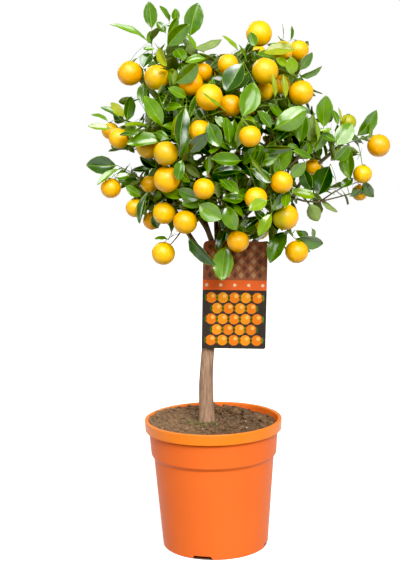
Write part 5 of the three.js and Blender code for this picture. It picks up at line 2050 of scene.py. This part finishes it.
def make_tie():
    """The tie's two strands as the source has them, drawn as smooth curves."""
    spot, radius, _ = limbs["leader"].place(TIE["share"])
    clear = radius * math.cos(math.pi / BOUGH_SIDES) + TIE["radius"] + SEAT_GAP
    hole = card_place(0, CARD["height"] / 2 - CARD["holeDrop"] + TIE["lift"])
    drop, slack = CARD["holeDrop"], TIE["slack"]
    strands = (
        (spot, (2, clear, -1), (-4.5, clear, 1), (-clear - 2, 0, 3), (-clear, -clear + 1, 2)),
        (hole, (-2, slack, 1), (0, 1.6, 0), (0, -0.6, 0)),
        (hole, (0, 0.6, 0), (0, -slack, 0), (2, -slack, drop), (4, 1, drop + 2)),
        (spot, (clear + 2.5, 0, -2), (4.5, clear, -1.5), (0, clear, -0.5)),
    )
    points = [[origin + vec(*move) for move in moves] for origin, *moves in strands]
    build = Build()
    for row in (points[0] + points[1], points[2] + points[3]):
        curve = spline(row, np.linspace(0, 1, 41))
        build.add(*tube(curve, [TIE["radius"]] * len(curve), 10), 0)
    return build


# ---------- making the pieces ----------

limbs = all_limbs()
crown = Crown(limbs)
crown.grow()

tones = [leaf_material(name, *pair) for name, pair in LEAF_TONES.items()]
for side, build in make_leaves(crown).items():
    nodes = ["foliage_" + mass.name for mass in crown.masses if mass.side == side]
    build.piece("leaves_" + side, tones, nodes, "foliage")



def fruit_material(name, light, dark):
    """Waxy peel that lets a little light through, save on the calyx."""
    return material(
        "fruit_" + name, light, dark, 0.42, 45, bump=(0.2, 900), gloss=0.03,
        Subsurface_Weight=0.2 if name != "calyx" else 0.0, Subsurface_Scale=0.004,
        across=TURNS if name == "turning" else None,
        Coat_Weight=0.15, Coat_Roughness=0.25, Specular_IOR_Level=0.35,
    )


fruit_tones = [fruit_material(name, *pair) for name, pair in FRUIT_TONES.items()]
make_fruit(crown).piece("fruit", fruit_tones, [], "foliage")

twig_tones = [
    material("twig_woody", (0.16, 0.12, 0.05), (0.07, 0.055, 0.025), 0.6, 300, bump=(0.2, 900)),
    material("twig_green", (0.16, 0.26, 0.03), (0.09, 0.17, 0.02), 0.45, 250, bump=(0.15, 900)),
]
make_twigs(crown).piece("twigs", twig_tones, [], "foliage")

bark_tones = [
    material(
        "bark", (0.42, 0.255, 0.155), (0.20, 0.115, 0.07), 0.85, 420, bump=(0.9, 900), detail=8, grain=0.1
    ),
    material(
        "bark_bough", (0.20, 0.14, 0.08), (0.08, 0.06, 0.035), 0.8, 260, bump=(0.6, 700), grain=0.25
    ),
]
make_bark(limbs).piece("bark", bark_tones, ["trunk"] + ["bough_" + name for name in BOUGHS], "bark")

pot_tones = [
    material(
        "pot_plastic", (0.82, 0.160, 0.030), (0.79, 0.150, 0.027), 0.48, 9,
        bump=(0.06, 1200), gloss=0.04, Specular_IOR_Level=0.2,
    ),
    # The second tone, for the rim and the inside above the soil, is the plastic made lighter: painted
    # light.
    material(
        "pot_rim_painted_light", (0.84, 0.220, 0.034), (0.80, 0.200, 0.007), 0.40, 9,
        bump=(0.06, 1200), gloss=0.04, Specular_IOR_Level=0.3,
    ),
]
make_pot().piece("pot_turned", pot_tones, ["pot"], "pot")

# Light and dark tone, roughness, noise scale, relief, detail.
SOIL_TONES = {
    "soil_dark": ((0.20, 0.110, 0.050), (0.040, 0.022, 0.010), 0.95, 190, (1.2, 800), 10),
    "soil_brown": ((0.225, 0.124, 0.054), (0.052, 0.027, 0.012), 0.95, 210, (1.0, 800), 10),
    "soil_dry": ((0.262, 0.152, 0.071), (0.086, 0.047, 0.023), 0.95, 240, (0.8, 900), 8),
    "soil_speck": ((0.75, 0.70, 0.60), (0.55, 0.50, 0.42), 0.8, 500, (0.3, 900), 5),
    "moss": ((0.21, 0.20, 0.06), (0.12, 0.115, 0.035), 0.8, 300, (0, 0), 5),
}
soil_tones = [
    material(name, *values, bump=bump, detail=detail)
    for name, (*values, bump, detail) in SOIL_TONES.items()
]
make_soil().piece("soil_crumbs", soil_tones, ["soil"], "soil", smooth=False)

PRINT_TONES = {
    "card_paper": (0.62, 0.60, 0.56),
    "print_terracotta": (0.30, 0.10, 0.045),
    "print_band": (0.78, 0.13, 0.025),
    "print_dark": (0.030, 0.020, 0.014),
    "print_brown": (0.12, 0.05, 0.025),
    "print_ochre": (0.46, 0.25, 0.11),
    "print_cream": (0.85, 0.62, 0.40),
    "print_orange": (0.78, 0.20, 0.012),
    "print_amber": (0.82, 0.28, 0.015),
    "print_light": (0.90, 0.48, 0.10),
    "print_green": (0.10, 0.20, 0.02),
    "print_leaf": (0.05, 0.12, 0.015),
}


def print_material(name, tone):
    light, dark = (tuple(share * value for value in tone) for share in (0.86, 0.76))
    return material(name, light, dark, 0.38, 40, bump=(0.03, 600), Specular_IOR_Level=0.25)


card_tones = [print_material(*row) for row in PRINT_TONES.items()]
make_card().piece("card_printed", card_tones, ["label_card"], "label_card", smooth=False)

tie_tone = material("tie_plastic", (0.05, 0.16, 0.05), (0.03, 0.10, 0.03), 0.45, 300, bump=(0.1, 700))
make_tie().piece("tie_drawn", [tie_tone], ["label_tie"], "label_tie")

# ---------- floor and light ----------

FLOOR = {"radius": 6, "corners": 64, "drop": 0.0002, "glow": 0.45}
AMBIENT = 0.28
BLACK = 0.014


def make_floor():
    """A pale round floor a hair under the pot, with a faint glow of its own except under the pot, where a
    dark disc is painted shade.
    """
    count = FLOOR["corners"]
    turns = np.arange(count) * 2 * math.pi / count
    rings = ((POT["footRadius"] - 1) * MM, FLOOR["radius"])
    corners = [(*polar(radius, turn), -FLOOR["drop"]) for radius in rings for turn in turns]
    faces = [(count + k, count + (k + 1) % count, (k + 1) % count, k) for k in range(count)]
    mesh = bpy.data.meshes.new("floor")
    mesh.from_pydata(corners, [], [*faces, range(count)])
    mesh.materials.append(
        material(
            "floor_white", (0.90, 0.90, 0.90), (0.89, 0.89, 0.89), 0.9, 3,
            Specular_IOR_Level=0, Emission_Color=(1, 1, 1, 1), Emission_Strength=FLOOR["glow"],
        )
    )
    # The dark disc under the pot is painted shade, seen through the drains.
    mesh.materials.append(material("floor_shade", (0.20, 0.16, 0.13), (0.16, 0.12, 0.10), 0.9, 30))
    mesh.polygons.foreach_set("material_index", [0] * count + [1])
    floor = bpy.data.objects.new("floor", mesh)
    floor.visible_diffuse = False
    bpy.context.scene.collection.objects.link(floor)


make_floor()

# The sun is a broad soft one, so that the floor is lit evenly.
SUN = {"from": (0.30, -1.0, 0.80), "angle": 36, "strength": 2.5}
# Soft boxes: place and aim in metres, width, power. The sheen only makes gloss: it lights nothing else.
BOXES = {
    "front": ((0.5, -1.9, 1.5), (0.02, 0, 0.5), 0.8, 18),
    "fill": ((-1.7, -1.3, 1.2), (0.0, 0, 0.5), 0.7, 12),
    "side": ((1.8, -1.2, 1.1), (0.0, 0, 0.5), 0.6, 10),
    "top": ((-0.5, -0.9, 2.2), (0.0, 0, 0.5), 0.8, 12),
    "rim": ((-0.9, 1.6, 1.5), (0.02, 0, 0.5), 0.9, 14),
    "sheen": ((-0.3, -1.4, 1.95), (0, 0, 0.55), 1.3, 34),
}


def add_lamp(name, kind, power, place, target, **size):
    lamp = bpy.data.lights.new(name, kind)
    lamp.energy = power
    for key, value in size.items():
        setattr(lamp, key, value)
    light = bpy.data.objects.new(name, lamp)
    light.location = place
    light.rotation_euler = (Vector(target) - Vector(place)).to_track_quat("-Z", "Y").to_euler()
    bpy.context.scene.collection.objects.link(light)
    return light


lights = {
    name: add_lamp(name, "AREA", power, place, target, size=width)
    for name, (place, target, width, power) in BOXES.items()
}
lights["sheen"].visible_diffuse = False
add_lamp("sun", "SUN", SUN["strength"], SUN["from"], (0, 0, 0), angle=SUN["angle"] * DEGREE)


def make_world():
    """White behind everything, with less of it for the light that falls on the tree."""
    world = bpy.data.worlds.new("studio")
    world.use_nodes = True
    tree = world.node_tree
    seen = tree.nodes["Background"]
    seen.inputs["Color"].default_value = (1, 1, 1, 1)
    around = tree.nodes.new("ShaderNodeBackground")
    around.inputs["Color"].default_value = (1, 1, 1, 1)
    around.inputs["Strength"].default_value = AMBIENT
    path = tree.nodes.new("ShaderNodeLightPath")
    mix = tree.nodes.new("ShaderNodeMixShader")
    tree.links.new(path.outputs["Is Camera Ray"], mix.inputs["Fac"])
    tree.links.new(around.outputs["Background"], mix.inputs[1])
    tree.links.new(seen.outputs["Background"], mix.inputs[2])
    tree.links.new(mix.outputs["Shader"], tree.nodes["World Output"].inputs["Surface"])
    bpy.context.scene.world = world


make_world()
view = bpy.context.scene.view_settings
view.view_transform = "Standard"
view.use_curve_mapping = True
view.curve_mapping.black_level = (BLACK, BLACK, BLACK)
